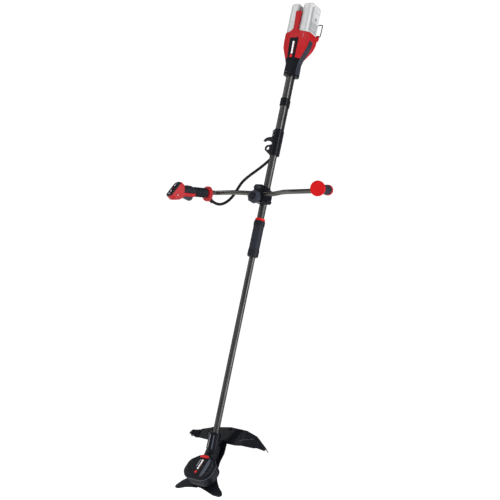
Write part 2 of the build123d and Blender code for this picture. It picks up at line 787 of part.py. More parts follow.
with BuildPart() as grip_pins:
    for at, out, radius in ((PIVOT_AT, -PIVOT_OUT, 2.0), (LEVER_AT, LEVER_OUT, 1.5)):
        with BuildSketch(grip_side(-SLOT_HALF + 0.1)):
            with Locations((at, out)):
                Circle(radius)
        extrude(amount=(SLOT_HALF - 0.1) * 2)
save(grip_pins, "grip_pins")

# Control head on the end of the grip; its panel is tilted back towards the operator.
PANEL_TILT = radians(40.0)
GRIP_END_PLANE = right_grip(0)
ALONG_GRIP = GRIP_END_PLANE.z_dir
TO_TRIGGER = GRIP_END_PLANE.x_dir
PANEL_CENTRE = GRIP_END_PLANE.origin + ALONG_GRIP * 211 + TO_TRIGGER * 1.5
PANEL_NORMAL = ALONG_GRIP * cos(PANEL_TILT) - TO_TRIGGER * sin(PANEL_TILT)
PANEL_LONG = ALONG_GRIP * sin(PANEL_TILT) + TO_TRIGGER * cos(PANEL_TILT)
PANEL = Plane(origin=PANEL_CENTRE, x_dir=PANEL_LONG, z_dir=PANEL_NORMAL)
BUTTONS = ((-16.0, "power_button"), (14.0, "speed_button"))
BUTTON_R = 6.5
PANEL_ENDS = [(211 + s * sin(PANEL_TILT), -1.5 - s * cos(PANEL_TILT)) for s in (-39, 39)]
HEAD_PROFILE = (
    (GRIP_END + 0.1, 19),
    (180, 24),
    *PANEL_ENDS,
    (238, -38),
    (231, -44),
    (197, -44),
    (184, -38),
    (GRIP_END + 0.1, -28),
)

with BuildPart() as control_head:
    with BuildSketch(grip_side(-22)):
        Polygon(*HEAD_PROFILE, align=None)
    extrude(amount=44)
    with BuildSketch(PANEL.offset(-100)):
        with Locations((-3, 0)):
            RectangleRounded(86, 43, 17)
    extrude(amount=120, mode=Mode.INTERSECT)
    for along_panel, word in BUTTONS:
        with BuildSketch(PANEL.offset(-8)):
            with Locations((along_panel, 0)):
                Circle(BUTTON_R + GAP)
        extrude(amount=20, mode=Mode.SUBTRACT)
save(control_head, "control_head")

with BuildPart() as control_panel:
    with BuildSketch(PANEL.offset(0.05)):
        RectangleRounded(79, 41, 16)
        for along_panel, word in BUTTONS:
            with Locations((along_panel, 0)):
                Circle(BUTTON_R + GAP, mode=Mode.SUBTRACT)
    extrude(amount=4)
    panel_face = control_panel.faces().sort_by(lambda face: face.center().dot(PANEL_NORMAL))[-1]
    chamfer(panel_face.outer_wire().edges(), 1.5)
save(control_panel, "control_panel")

for along_panel, word in BUTTONS:
    with BuildPart() as press_button:
        with BuildSketch(PANEL.offset(-5)):
            with Locations((along_panel, 0)):
                Circle(BUTTON_R)
        extrude(amount=10.4)
    save(press_button, word)

# Red lower bezel of the grip, with the side cheeks that guard the trigger.
with BuildPart() as trigger_bezel:
    with BuildSketch(right_grip(TRIGGER_START)):
        with Locations((GRIP_DROP, 0)):
            Ellipse(GRIP_HALF_X + 5.5, GRIP_HALF_Y + 3.5)
            Ellipse(GRIP_HALF_X + 1.6, GRIP_HALF_Y + 1.4, mode=Mode.SUBTRACT)
        with Locations((-16, 0)):
            Rectangle(60, 60, mode=Mode.SUBTRACT)
        with Locations((30, 0)):
            Rectangle(40, SLOT_HALF * 2, mode=Mode.SUBTRACT)
    extrude(amount=GRIP_END - TRIGGER_START)
save(trigger_bezel, "trigger_bezel")

# ---------------------------------------------------------------- cutting head
SPINDLE_UP = (0.0, -sin(radians(HEAD_LEAN)), cos(radians(HEAD_LEAN)))
REARWARD = (0.0, cos(radians(HEAD_LEAN)), sin(radians(HEAD_LEAN)))
BLADE_CENTRE = (SHAFT_X, -6.8, -1357.6)
MOTOR_BOTTOM = 17.0
MOTOR_TOP = 56.0
COVER_TOP = 67.0
SOCKET_R_HEAD = 22.0
NECK_BLOCK = ((50, 17.7), (50, 56), (76, 60), (112, 70), (118, 48), (84, 21.3))
NECK_CLEARANCE = ((49.7, 17.4), (49.7, 56.3), (76, 60.5), (112, 71), (119, 48), (84, 21))
SOCKET_TOP = -1184.0
SOCKET_LOW = -1262.0


def head(height):
    """Plane square to the spindle: local x along X, local y rearward."""
    base = Plane(origin=BLADE_CENTRE, x_dir=(1, 0, 0), z_dir=SPINDLE_UP)
    return base.offset(height)


def head_side(x):
    """Plane along the head's middle: local x rearward, local y up the spindle."""
    return Plane(origin=Vector(*BLADE_CENTRE) + Vector(x, 0, 0), x_dir=REARWARD, z_dir=(1, 0, 0))


def head_outline(grow):
    """Rounded outline of the motor housing, seen along the spindle."""
    right = [(40 + grow, -48 - grow), (64 + grow, -24), (64 + grow, 28), (27 + grow, 61 + grow)]
    return right + [(-x, y) for x, y in reversed(right)]


def outline_prism(bottom, top, grow, radius):
    """Solid with the motor housing's outline."""
    with BuildPart() as prism:
        with BuildSketch(head(bottom)) as outline:
            Polygon(*head_outline(grow), align=None)
            fillet(outline.vertices(), radius)
        extrude(amount=top - bottom)
    return prism


with BuildPart() as motor_housing:
    add(outline_prism(MOTOR_BOTTOM, MOTOR_TOP, 0, 36).part)
    flat_faces = motor_housing.faces().filter_by(Plane(origin=(0, 0, 0), z_dir=SPINDLE_UP))
    chamfer(flat_faces.sort_by(SortBy.AREA)[-2].edges(), 1)
    with BuildSketch(level(SOCKET_LOW)):
        Circle(SOCKET_R_HEAD)
    extrude(amount=SOCKET_TOP - SOCKET_LOW)
    with BuildSketch(head_side(-SOCKET_R_HEAD)):
        Polygon(*NECK_BLOCK, align=None)
    extrude(amount=SOCKET_R_HEAD * 2)
    add(outline_prism(MOTOR_BOTTOM + 4, MOTOR_TOP + 30, -4, 32).part, mode=Mode.SUBTRACT)
    with BuildSketch(level(LOWER_TUBE_END)):
        Circle(LOWER_R + FIT)
    extrude(amount=200, mode=Mode.SUBTRACT)
    with BuildSketch(level(LOWER_TUBE_END - 60)):
        Circle(6)
    extrude(amount=62, mode=Mode.SUBTRACT)
    with BuildSketch(facing(-30, z=-1212)):
        Rectangle(2.4, 66)
    extrude(amount=24, mode=Mode.SUBTRACT)
    with BuildSketch(facing(-10, z=-1212)):
        Rectangle(2.4, 66)
    extrude(amount=24, mode=Mode.SUBTRACT)
    with BuildSketch(head(MOTOR_BOTTOM - 1)):
        Circle(11.0 + FIT)
    extrude(amount=8, mode=Mode.SUBTRACT)
save(motor_housing, "motor_housing")

with BuildPart() as motor_cover:
    add(outline_prism(MOTOR_TOP + 0.1, COVER_TOP, 1.0, 36).part)
    top_face = motor_cover.faces().sort_by(lambda face: face.center().dot(Vector(*SPINDLE_UP)))[-1]
    chamfer(top_face.edges(), 5)
    with BuildSketch(head(MOTOR_TOP)):
        Circle(34)
    extrude(amount=6, mode=Mode.SUBTRACT)
    with BuildSketch(level(SOCKET_LOW - 20)):
        Circle(SOCKET_R_HEAD + 0.3)
    extrude(amount=200, mode=Mode.SUBTRACT)
    with BuildSketch(head_side(-SOCKET_R_HEAD - 0.3)):
        Polygon(*NECK_CLEARANCE, align=None)
    extrude(amount=SOCKET_R_HEAD * 2 + 0.6, mode=Mode.SUBTRACT)
save(motor_cover, "motor_cover")

STATOR_TEETH = 12
with BuildPart() as motor_stator:
    with BuildSketch(head(MOTOR_BOTTOM + 11)):
        Circle(30)
        with PolarLocations(22, STATOR_TEETH):
            Rectangle(10, 3.4, mode=Mode.SUBTRACT)
        Circle(13 + FIT, mode=Mode.SUBTRACT)
    extrude(amount=20)
    with BuildSketch(head(MOTOR_BOTTOM + 4.05)):
        Circle(16)
        Circle(11 + FIT, mode=Mode.SUBTRACT)
    extrude(amount=6.95)
save(motor_stator, "motor_stator")

with BuildPart() as motor_rotor:
    with BuildSketch(head(MOTOR_BOTTOM + 10)):
        Circle(36)
        Circle(31, mode=Mode.SUBTRACT)
    extrude(amount=25)
    with BuildSketch(head(MOTOR_BOTTOM + 32)):
        Circle(36)
        Circle(SPINDLE_R + FIT, mode=Mode.SUBTRACT)
        with PolarLocations(21, 6):
            Circle(5, mode=Mode.SUBTRACT)
    extrude(amount=3)
save(motor_rotor, "motor_rotor")

with BuildPart() as spindle_bearings:
    for height in (MOTOR_BOTTOM + 0.5, MOTOR_BOTTOM + 22):
        with BuildSketch(head(height)):
            Circle(11.0)
            Circle(SPINDLE_R + FIT, mode=Mode.SUBTRACT)
        extrude(amount=7)
save(spindle_bearings, "spindle_bearings")

with BuildPart() as spindle:
    with BuildSketch(head(-14)):
        Circle(SPINDLE_R)
    extrude(amount=14 + MOTOR_BOTTOM + 36)
save(spindle, "spindle")

with BuildPart() as drive_flange:
    with BuildSketch(head(BLADE_THICK / 2)):
        Circle(24)
    extrude(amount=6)
    with BuildSketch(head(BLADE_THICK / 2 + 6)):
        Circle(11)
    extrude(amount=7.5)
    with BuildSketch(head(-BLADE_THICK / 2 + 0.1)):
        Circle(BLADE_BORE_R - FIT)
    extrude(amount=BLADE_THICK)
    with BuildSketch(head(-4)):
        Circle(SPINDLE_R + FIT)
    extrude(amount=30, mode=Mode.SUBTRACT)
save(drive_flange, "drive_flange")

with BuildPart() as blade_fasteners:
    with BuildSketch(head(-BLADE_THICK / 2)):
        Circle(20)
        Circle(SPINDLE_R + FIT, mode=Mode.SUBTRACT)
    extrude(amount=-3)
    with BuildSketch(head(-BLADE_THICK / 2 - 3.02)):
        RegularPolygon(9.5, 6)
        Circle(SPINDLE_R + FIT, mode=Mode.SUBTRACT)
    extrude(amount=-8)
save(blade_fasteners, "blade_fasteners")

# Three-tooth blade: each tooth has a straight cutting edge and a hooked back.
TEETH = 3
TOOTH_OUTLINE = (
    (20, -40),
    (52, -33),
    (96, -24),
    (BLADE_R - 6, -12),
    (BLADE_R, -2),
    (BLADE_R - 4, 5),
    (112, 11),
    (84, 15),
    (58, 24),
    (34, 36),
)
with BuildPart() as blade:
    with BuildSketch(head(-BLADE_THICK / 2)):
        Circle(46)
        with PolarLocations(0, TEETH, start_angle=BLADE_SPIN):
            Polygon(*TOOTH_OUTLINE, align=None)
        Circle(BLADE_BORE_R, mode=Mode.SUBTRACT)
    extrude(amount=BLADE_THICK)
save(blade, "blade")

# ---------------------------------------------------------------- guard
GUARD_RISE = 12.0
GUARD_WALL = 3.0
SKIRT = 26.0
# Arch of the guard (across, up), and its plan seen along the spindle (across, rearward)
GUARD_ARCH = ((199, 2), (163, 38), (104, 54), (-104, 50), (-163, 34), (-199, 3))
GUARD_FRONT = (
    (-189, 177),
    (-165, 164),
    (-126, 148),
    (-75, 146),
    (79, 145),
    (152, 157),
    (175, 167),
    (187, 171),
)
GUARD_RIM = (
    (190, 184),
    (174, 192),
    (150, 205),
    (104, 212),
    (23, 214),
    (-56, 201),
    (-118, 181),
    (-190, 183),
)


def guard_arch(bottom_drop):
    """Arch across the guard, extruded front to rear; the drop is its depth below the top face."""
    rise = radians(GUARD_RISE)
    lengthwise = Vector(*REARWARD) * cos(rise) + Vector(*SPINDLE_UP) * sin(rise)
    middle = Vector(*BLADE_CENTRE) + Vector(*REARWARD) * 180
    plane = Plane(origin=middle + lengthwise * 60, x_dir=(1, 0, 0), z_dir=lengthwise * -1)
    lower = [(x, y - bottom_drop) for x, y in reversed(GUARD_ARCH)]
    with BuildPart() as arch:
        with BuildSketch(plane):
            Polygon(*GUARD_ARCH, *lower, align=None)
        extrude(amount=200)
    return arch


def guard_plan(inset, lead=0):
    """Outline of the guard seen along the spindle, its rim drawn in and its front edge moved forward."""
    return [(x, y - lead) for x, y in GUARD_FRONT] + [(x, y - inset) for x, y in GUARD_RIM]


TONGUE = ((64, 15), (112, 20), (152, 43), (152, 48), (111, 24), (64, 19))
with BuildPart() as guard_skirt:
    add(guard_arch(SKIRT).part)
    with BuildSketch(head(-40)):
        Polygon(*guard_plan(0), align=None)
    extrude(amount=120, mode=Mode.INTERSECT)
    with BuildSketch(head(-41)):
        Polygon(*guard_plan(GUARD_WALL, 60), align=None)
    extrude(amount=122, mode=Mode.SUBTRACT)

with BuildPart() as guard:
    add(guard_arch(GUARD_WALL).part)
    with BuildSketch(head(-40)):
        Polygon(*guard_plan(0), align=None)
    extrude(amount=120, mode=Mode.INTERSECT)
    add(guard_skirt.part)
    with BuildSketch(head_side(-34)):
        Polygon(*TONGUE, align=None)
    extrude(amount=68)
save(guard, "guard")

GUARD_SCREWS = ((-22, 76), (22, 76))
SPINDLE_DOWN = Vector(*SPINDLE_UP) * -1
guard_screw_planes = [
    Plane(origin=head(15.7).from_local_coords((x, y, 0)), z_dir=SPINDLE_DOWN)
    for x, y in GUARD_SCREWS
]
guard_screws = cap_screws(guard_screw_planes, 4.2, 4.0, 2.5, 0.05)
save(guard_screws, "guard_screws")
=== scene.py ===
import json
from math import cos, pi, radians, sin

import bmesh
import bpy
from mathutils import Matrix, Vector


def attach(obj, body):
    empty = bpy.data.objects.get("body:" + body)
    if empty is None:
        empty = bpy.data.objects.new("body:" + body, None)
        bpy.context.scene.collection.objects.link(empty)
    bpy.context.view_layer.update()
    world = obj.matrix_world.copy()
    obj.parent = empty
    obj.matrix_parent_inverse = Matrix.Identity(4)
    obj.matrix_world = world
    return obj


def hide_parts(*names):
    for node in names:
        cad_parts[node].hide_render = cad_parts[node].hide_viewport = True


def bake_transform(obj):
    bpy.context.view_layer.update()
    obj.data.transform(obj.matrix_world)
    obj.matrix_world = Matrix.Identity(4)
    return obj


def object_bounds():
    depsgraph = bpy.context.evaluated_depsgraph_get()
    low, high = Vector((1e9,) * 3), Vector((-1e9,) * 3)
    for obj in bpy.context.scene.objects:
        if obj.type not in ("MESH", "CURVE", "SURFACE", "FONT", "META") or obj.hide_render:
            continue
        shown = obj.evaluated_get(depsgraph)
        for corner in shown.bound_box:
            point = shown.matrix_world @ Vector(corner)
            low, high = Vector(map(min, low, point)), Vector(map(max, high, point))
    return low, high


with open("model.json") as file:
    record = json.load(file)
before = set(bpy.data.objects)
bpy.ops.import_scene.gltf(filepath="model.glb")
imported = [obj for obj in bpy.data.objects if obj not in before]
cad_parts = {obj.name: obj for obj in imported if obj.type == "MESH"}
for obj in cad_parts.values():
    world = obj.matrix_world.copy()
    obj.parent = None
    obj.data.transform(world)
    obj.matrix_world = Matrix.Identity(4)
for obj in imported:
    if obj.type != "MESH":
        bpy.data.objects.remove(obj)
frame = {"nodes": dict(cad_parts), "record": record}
CAD_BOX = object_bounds()
scene = bpy.context.scene
MM = 0.001

# ---------------------------------------------------------------- dimensions of the row, mm
SHAFT_X = 35.0
BLADE_CENTRE = Vector((35.0, -6.8, -1357.6))
HEAD_LEAN = radians(56.2)
SPINDLE_UP = Vector((0.0, -sin(HEAD_LEAN), cos(HEAD_LEAN)))
REARWARD = Vector((0.0, cos(HEAD_LEAN), sin(HEAD_LEAN)))
RIGHT_BEND = Vector((-190.0, -45.0, -215.0))
RIGHT_AXIS = Vector((-0.25, -0.93, -0.22)).normalized()
LEFT_BEND = Vector((374.0, -60.0, -189.0))
LEFT_AXIS = Vector((0.23, -0.94, -0.24)).normalized()
KNOB_Z = -231.0
SPLIT_Y = 14.0                       # seam between the housing shells
KNOB_FACE_Y = -85.8                  # front face of the clamp knob
COVER_TOP = 67.0                     # motor cover above the blade, along the spindle
BLADE_SPIN = -146.4                  # turn of the first tooth about the spindle, degrees
PANEL_AT = 211.0                     # centre of the control panel along the trigger grip
PANEL_OUT = 1.5
PANEL_TILT = radians(40)
PANEL_THICK = 4.05
PACK_MIDDLE_Y = 18.0
X_AXIS = Vector((1, 0, 0))
Y_AXIS = Vector((0, 1, 0))
Z_AXIS = Vector((0, 0, 1))


SLOT_OF = {s["node"]: s["material_slot"] for s in frame["record"]["subparts"]}


# ---------------------------------------------------------------- camera
def make_camera():
    """Camera at the photograph's angle."""
    azimuth, elevation, roll = radians(35.7), radians(-9.9), radians(11.8)
    target = Vector((0.02258, -0.00893, -0.4382))
    back = Vector((sin(azimuth) * cos(elevation), -cos(azimuth) * cos(elevation), sin(elevation)))
    right = Vector((cos(azimuth), sin(azimuth), 0))
    up = back.cross(right)
    rolled_right = right * cos(roll) + up * sin(roll)
    rolled_up = up * cos(roll) - right * sin(roll)
    data = bpy.data.cameras.new("camera")
    data.lens = 72
    data.sensor_width = 36
    data.clip_end = 60
    camera = bpy.data.objects.new("camera", data)
    scene.collection.objects.link(camera)
    turn = Matrix((rolled_right, rolled_up, back)).transposed().to_4x4()
    camera.matrix_world = Matrix.Translation(target + back * 4.0549) @ turn
    scene.camera = camera


make_camera()


# ---------------------------------------------------------------- materials
def node(tree, kind, **values):
    """New shader node with its sockets or properties set."""
    made = tree.nodes.new(kind)
    for key, value in values.items():
        if key in made.inputs:
            made.inputs[key].default_value = value
        else:
            setattr(made, key, value)
    return made


def surface(name, colour, rough, spread=0.12, shade=0.25, patch=18.0, grain=900.0, depth=0.00006,
            stretch=(1, 1, 1), metallic=0.0, specular=0.5, coat=0.0, streak=None):
    """Procedural finish: patchy colour and roughness, fine grain bump and, for tubes, lengthwise streaks."""
    mat = bpy.data.materials.new(name)
    mat.use_nodes = True
    tree = mat.node_tree
    shader = tree.nodes["Principled BSDF"]
    shader.inputs["Metallic"].default_value = metallic
    shader.inputs["Specular IOR Level"].default_value = specular
    if coat:
        shader.inputs["Coat Weight"].default_value = coat
        shader.inputs["Coat Roughness"].default_value = 0.12
    link = tree.links.new
    place = node(tree, "ShaderNodeTexCoord")
    scaled = node(tree, "ShaderNodeMapping")
    scaled.inputs["Scale"].default_value = stretch
    link(place.outputs["Object"], scaled.inputs["Vector"])
    patches = node(tree, "ShaderNodeTexNoise", Scale=patch, Detail=4.0, Roughness=0.6)
    link(scaled.outputs["Vector"], patches.inputs["Vector"])
    fine = node(tree, "ShaderNodeTexNoise", Scale=grain, Detail=3.0, Roughness=0.55)
    link(scaled.outputs["Vector"], fine.inputs["Vector"])
    tint = node(tree, "ShaderNodeMix", data_type="RGBA")
    tint.inputs[6].default_value = (*[c * (1 - shade) for c in colour], 1)
    tint.inputs[7].default_value = (*[min(1, c * (1 + shade)) for c in colour], 1)
    link(patches.outputs["Fac"], tint.inputs[0])
    colour_out = tint.outputs[2]
    if streak:
        lines = node(tree, "ShaderNodeTexNoise", Scale=streak[0], Detail=2.0)
        along = node(tree, "ShaderNodeMapping")
        along.inputs["Scale"].default_value = streak[1]
        link(place.outputs["Object"], along.inputs["Vector"])
        link(along.outputs["Vector"], lines.inputs["Vector"])
        ramp = node(tree, "ShaderNodeValToRGB")
        ramp.color_ramp.elements[0].position = 0.42
        ramp.color_ramp.elements[0].color = (*[c * 0.5 for c in colour], 1)
        ramp.color_ramp.elements[1].position = 0.62
        ramp.color_ramp.elements[1].color = (*[min(1, c * streak[2]) for c in colour], 1)
        link(lines.outputs["Fac"], ramp.inputs["Fac"])
        mixed = node(tree, "ShaderNodeMix", data_type="RGBA")
        mixed.inputs[0].default_value = 0.6
        link(tint.outputs[2], mixed.inputs[6])
        link(ramp.outputs["Color"], mixed.inputs[7])
        colour_out = mixed.outputs[2]
    link(colour_out, shader.inputs["Base Color"])
    spread_out = node(tree, "ShaderNodeMapRange")
    spread_out.inputs["To Min"].default_value = max(0.03, rough - spread)
    spread_out.inputs["To Max"].default_value = min(1.0, rough + spread)
    link(fine.outputs["Fac"], spread_out.inputs["Value"])
    link(spread_out.outputs["Result"], shader.inputs["Roughness"])
    bump = node(tree, "ShaderNodeBump", Strength=0.6, Distance=depth)
    link(fine.outputs["Fac"], bump.inputs["Height"])
    link(bump.outputs["Normal"], shader.inputs["Normal"])
    return mat


LENGTHWISE = (1, 1, 0.02)
MATS = {
    "dark_tube": surface("dark_tube", (0.062, 0.062, 0.061), 0.36, grain=260, stretch=LENGTHWISE,
                         metallic=0.85, specular=0.15, streak=(220, (1, 1, 0.03), 1.4)),
    "bar_tube": surface("bar_tube", (0.088, 0.087, 0.082), 0.18, grain=260, stretch=(0.02, 1, 1),
                        metallic=0.9, specular=0.15, streak=(160, (0.02, 1, 1), 1.3)),
    "red_plastic": surface("red_plastic", (0.31, 0.005, 0.008), 0.42, shade=0.08, grain=1500, depth=0.00003,
                           specular=0.2),
    "bright_red": surface("bright_red", (0.50, 0.004, 0.006), 0.5, shade=0.06, grain=1500, depth=0.00003,
                          specular=0.12),
    "black_plastic": surface("black_plastic", (0.0035, 0.004, 0.0065), 0.36, grain=1300, specular=0.1),
    "slate_rubber": surface("slate_rubber", (0.021, 0.024, 0.034), 0.5, grain=1700, specular=0.14),
    # Lighter copy of slate_rubber, painted on as highlight: clamp cap and knob ribs, motor cover lip and
    # ridge, neck ridges and the guard crease.
    "slate_painted_highlight": surface("slate_painted_highlight", (0.042, 0.050, 0.072), 0.4, grain=1500, specular=0.25),
    "black_rubber": surface("black_rubber", (0.010, 0.011, 0.016), 0.5, grain=1900, depth=0.0001,
                            specular=0.12),
    "pack_grey": surface("pack_grey", (0.43, 0.435, 0.44), 0.36, shade=0.16, patch=26, grain=1500,
                         depth=0.00003, specular=0.2),
    # Darker copy of pack_grey, painted on as shade: front bands, bevel, outer side and rear plates and top
    # ribs of the packs.
    "pack_painted_shade": surface("pack_painted_shade", (0.24, 0.245, 0.25), 0.4, shade=0.14, patch=30, grain=1500,
                          depth=0.00003, specular=0.15),
    "steel": surface("steel", (0.30, 0.30, 0.32), 0.36, grain=700, metallic=1.0, shade=0.12),
    "dark_steel": surface("dark_steel", (0.05, 0.05, 0.055), 0.4, grain=700, metallic=0.9, shade=0.12),
    "blade_steel": surface("blade_steel", (0.008, 0.009, 0.013), 0.42, grain=600, metallic=0.2, shade=0.4,
                           specular=0.15),
    "ground_steel": surface("ground_steel", (0.05, 0.055, 0.07), 0.35, grain=900, metallic=0.8, shade=0.3),
    "copper": surface("copper", (0.72, 0.36, 0.18), 0.3, metallic=1.0),
    "board": surface("board", (0.02, 0.12, 0.05), 0.45, patch=160, shade=0.5),
    "cable_black": surface("cable_black", (0.007, 0.007, 0.008), 0.4, grain=1200, specular=0.12),
    "magnet_steel": surface("magnet_steel", (0.16, 0.16, 0.17), 0.45, metallic=0.8, stretch=(1, 1, 8)),
    "white_print": surface("white_print", (0.80, 0.80, 0.80), 0.5, shade=0.05),
    "grey_print": surface("grey_print", (0.14, 0.15, 0.17), 0.5, shade=0.1),
    "red_print": surface("red_print", (0.50, 0.008, 0.012), 0.4, shade=0.1, specular=0.2),
    "dull_red": surface("dull_red", (0.16, 0.006, 0.010), 0.5, shade=0.1, specular=0.2),
}


# ---------------------------------------------------------------- mesh helpers
def basis(origin, z_axis, x_axis):
    """Local frame, in mm: x, y = z cross x, z, origin."""
    z = Vector(z_axis).normalized()
    x = Vector(x_axis)
    x = (x - z * x.dot(z)).normalized()
    turn = Matrix((x, z.cross(x), z)).transposed().to_4x4()
    return Matrix.Translation(Vector(origin)) @ turn


def shift(local, distance):
    """The same frame, further along its own z."""
    return local @ Matrix.Translation((0, 0, distance))


def facing(y, x=SHAFT_X, z=0.0):
    """Frame that faces the upper side: local x along X, local y along Z."""
    return basis((x, y, z), (0, -1, 0), X_AXIS)


def finish_mesh(bm, name, body, mat, slot, bevel=0.0, steps=2, angle=32, sub=0):
    """Write a bmesh, given in mm, as a smooth-shaded piece in metres that rides on a body."""
    bmesh.ops.scale(bm, vec=(MM, MM, MM), verts=bm.verts)
    bmesh.ops.recalc_face_normals(bm, faces=bm.faces)
    mesh = bpy.data.meshes.new(name)
    bm.to_mesh(mesh)
    bm.free()
    piece = bpy.data.objects.new(name, mesh)
    scene.collection.objects.link(piece)
    mesh.materials.append(MATS[mat])
    if bevel:
        edge = piece.modifiers.new("bevel", "BEVEL")
        edge.width = bevel * MM
        edge.segments = steps
        edge.limit_method = "ANGLE"
        edge.angle_limit = radians(28)
    if sub:
        piece.modifiers.new("subdivision", "SUBSURF").levels = sub
        piece.modifiers["subdivision"].render_levels = sub
    mesh.shade_smooth()
    mesh.set_sharp_from_angle(angle=radians(angle))
    if body:
        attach(piece, body)
    return piece


def add_prism(bm, outline, local, low, high):
    """Add a straight prism over an outline to a bmesh."""
    rings = []
    for height in (low, high):
        rings.append([bm.verts.new(local @ Vector((u, v, height))) for u, v in outline])
    count = len(outline)
    bm.faces.new(rings[0][::-1])
    bm.faces.new(rings[1])
    for i in range(count):
        j = (i + 1) % count
        bm.faces.new((rings[0][i], rings[0][j], rings[1][j], rings[1][i]))


def prism(name, outlines, local, low, high, body, mat, slot, **more):
    """One or several prisms on one plane, as one piece."""
    bm = bmesh.new()
    for outline in outlines:
        add_prism(bm, outline, local, low, high)
    return finish_mesh(bm, name, body, mat, slot, **more)


def add_turned(bm, profile, local, segments=64, close=True):
    """Add a turned solid to a bmesh: the profile lists (radius, height) pairs."""
    rings = []
    for radius, height in profile:
        ring = []
        for i in range(segments):
            a = 2 * pi * i / segments
            ring.append(bm.verts.new(local @ Vector((radius * cos(a), radius * sin(a), height))))
        rings.append(ring)
    last = len(rings) if close else len(rings) - 1
    for k in range(last):
        one, two = rings[k], rings[(k + 1) % len(rings)]
        for i in range(segments):
            j = (i + 1) % segments
            bm.faces.new((one[i], one[j], two[j], two[i]))


def turned(name, profiles, local, body, mat, slot, segments=64, **more):
    """Turned rings, each a closed profile, as one piece."""
    bm = bmesh.new()
    for profile in profiles:
        add_turned(bm, profile, local, segments)
    return finish_mesh(bm, name, body, mat, slot, **more)


def ring_profile(inner, outer, low, high, soft):
    """Closed profile of a ring with softened outer edges."""
    return [(inner, low), (outer - soft, low), (outer - soft * 0.3, low + soft * 0.3), (outer, low + soft),
            (outer, high - soft), (outer - soft * 0.3, high - soft * 0.3), (outer - soft, high),
            (inner, high)]


def rounded(width, height, radius, cx=0.0, cy=0.0, steps=5):
    """Rounded rectangle outline."""
    points = []
    corners = ((1, 1, 0), (-1, 1, 90), (-1, -1, 180), (1, -1, 270))
    for sx, sy, start in corners:
        mx, my = cx + sx * (width / 2 - radius), cy + sy * (height / 2 - radius)
        for i in range(steps + 1):
            a = radians(start + 90 * i / steps)
            points.append((mx + radius * cos(a), my + radius * sin(a)))
    return points


def ellipse(rx, ry, cx=0.0, cy=0.0, count=48):
    """Ellipse outline."""
    return [(cx + rx * cos(2 * pi * i / count), cy + ry * sin(2 * pi * i / count)) for i in range(count)]


def spline_points(route, steps=12):
    """Points read from the smooth NURBS line of a route, given in metres."""
    curve = bpy.data.curves.new("route", "CURVE")
    curve.dimensions = "3D"
    spline = curve.splines.new("NURBS")
    spline.points.add(len(route) - 1)
    for point, at in zip(spline.points, route):
        point.co = (*at, 1)
    spline.order_u = 3
    spline.use_endpoint_u = True
    curve.resolution_u = steps
    holder = bpy.data.objects.new("route", curve)
    scene.collection.objects.link(holder)
    bpy.context.view_layer.update()
    mesh = bpy.data.meshes.new_from_object(holder.evaluated_get(bpy.context.evaluated_depsgraph_get()))
    points = [v.co.copy() for v in mesh.vertices]
    bpy.data.objects.remove(holder)
    bpy.data.curves.remove(curve)
    bpy.data.meshes.remove(mesh)
    return points


def tube_rings(bm, points, radii, segments=20):
    """Add a closed tube along points, with one radius at each, to a bmesh."""
    side = Vector((0, 0, 1)).cross(points[1] - points[0])
    side = side.normalized() if side.length > 1e-6 else Vector((1, 0, 0))
    rings = []
    for i, at in enumerate(points):
        ahead = points[min(i + 1, len(points) - 1)] - points[max(i - 1, 0)]
        ahead.normalize()
        side = (side - ahead * side.dot(ahead)).normalized()
        across = ahead.cross(side)
        ring = []
        for k in range(segments):
            a = 2 * pi * k / segments
            ring.append(bm.verts.new(at + (side * cos(a) + across * sin(a)) * radii[i]))
        rings.append(ring)
    bm.faces.new(rings[0][::-1])
    bm.faces.new(rings[-1])
    for one, two in zip(rings, rings[1:]):
        for i in range(segments):
            j = (i + 1) % segments
            bm.faces.new((one[i], one[j], two[j], two[i]))


# ---------------------------------------------------------------- control cable
CABLE_R = 6.0
CABLE_ROUTE = (
    (37, 24.2, 22),
    (37, 24.4, 2),
    (27, 25, -18),
    (6, 24, -39),
    (-14, 20, -63),
    (-41, 14, -91),
    (-72, 7, -120),
    (-96, 0, -150),
    (-108, -6, -186),
    (-117, -12, -216),
    (-134, -20, -244),
    (-158, -30, -261),
    (-180, -43, -259),
    (-193, -59, -249),
    (-197.5, -74, -240),
)


def make_cable():
    """The free control cable from the harness bracket to the trigger grip's flange."""
    route = [Vector(p) * MM for p in CABLE_ROUTE]
    line = spline_points(route)
    path = [line[0]] + [b for a, b in zip(line, line[1:]) if (b - a).length > 1e-6]
    bm = bmesh.new()
    points = [p / MM for p in path]
    tube_rings(bm, points, [CABLE_R] * len(points))
    cable = finish_mesh(bm, "control_cable", None, "cable_black", "cable_black")
    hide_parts("cable_loop")
    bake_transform(cable)


make_cable()


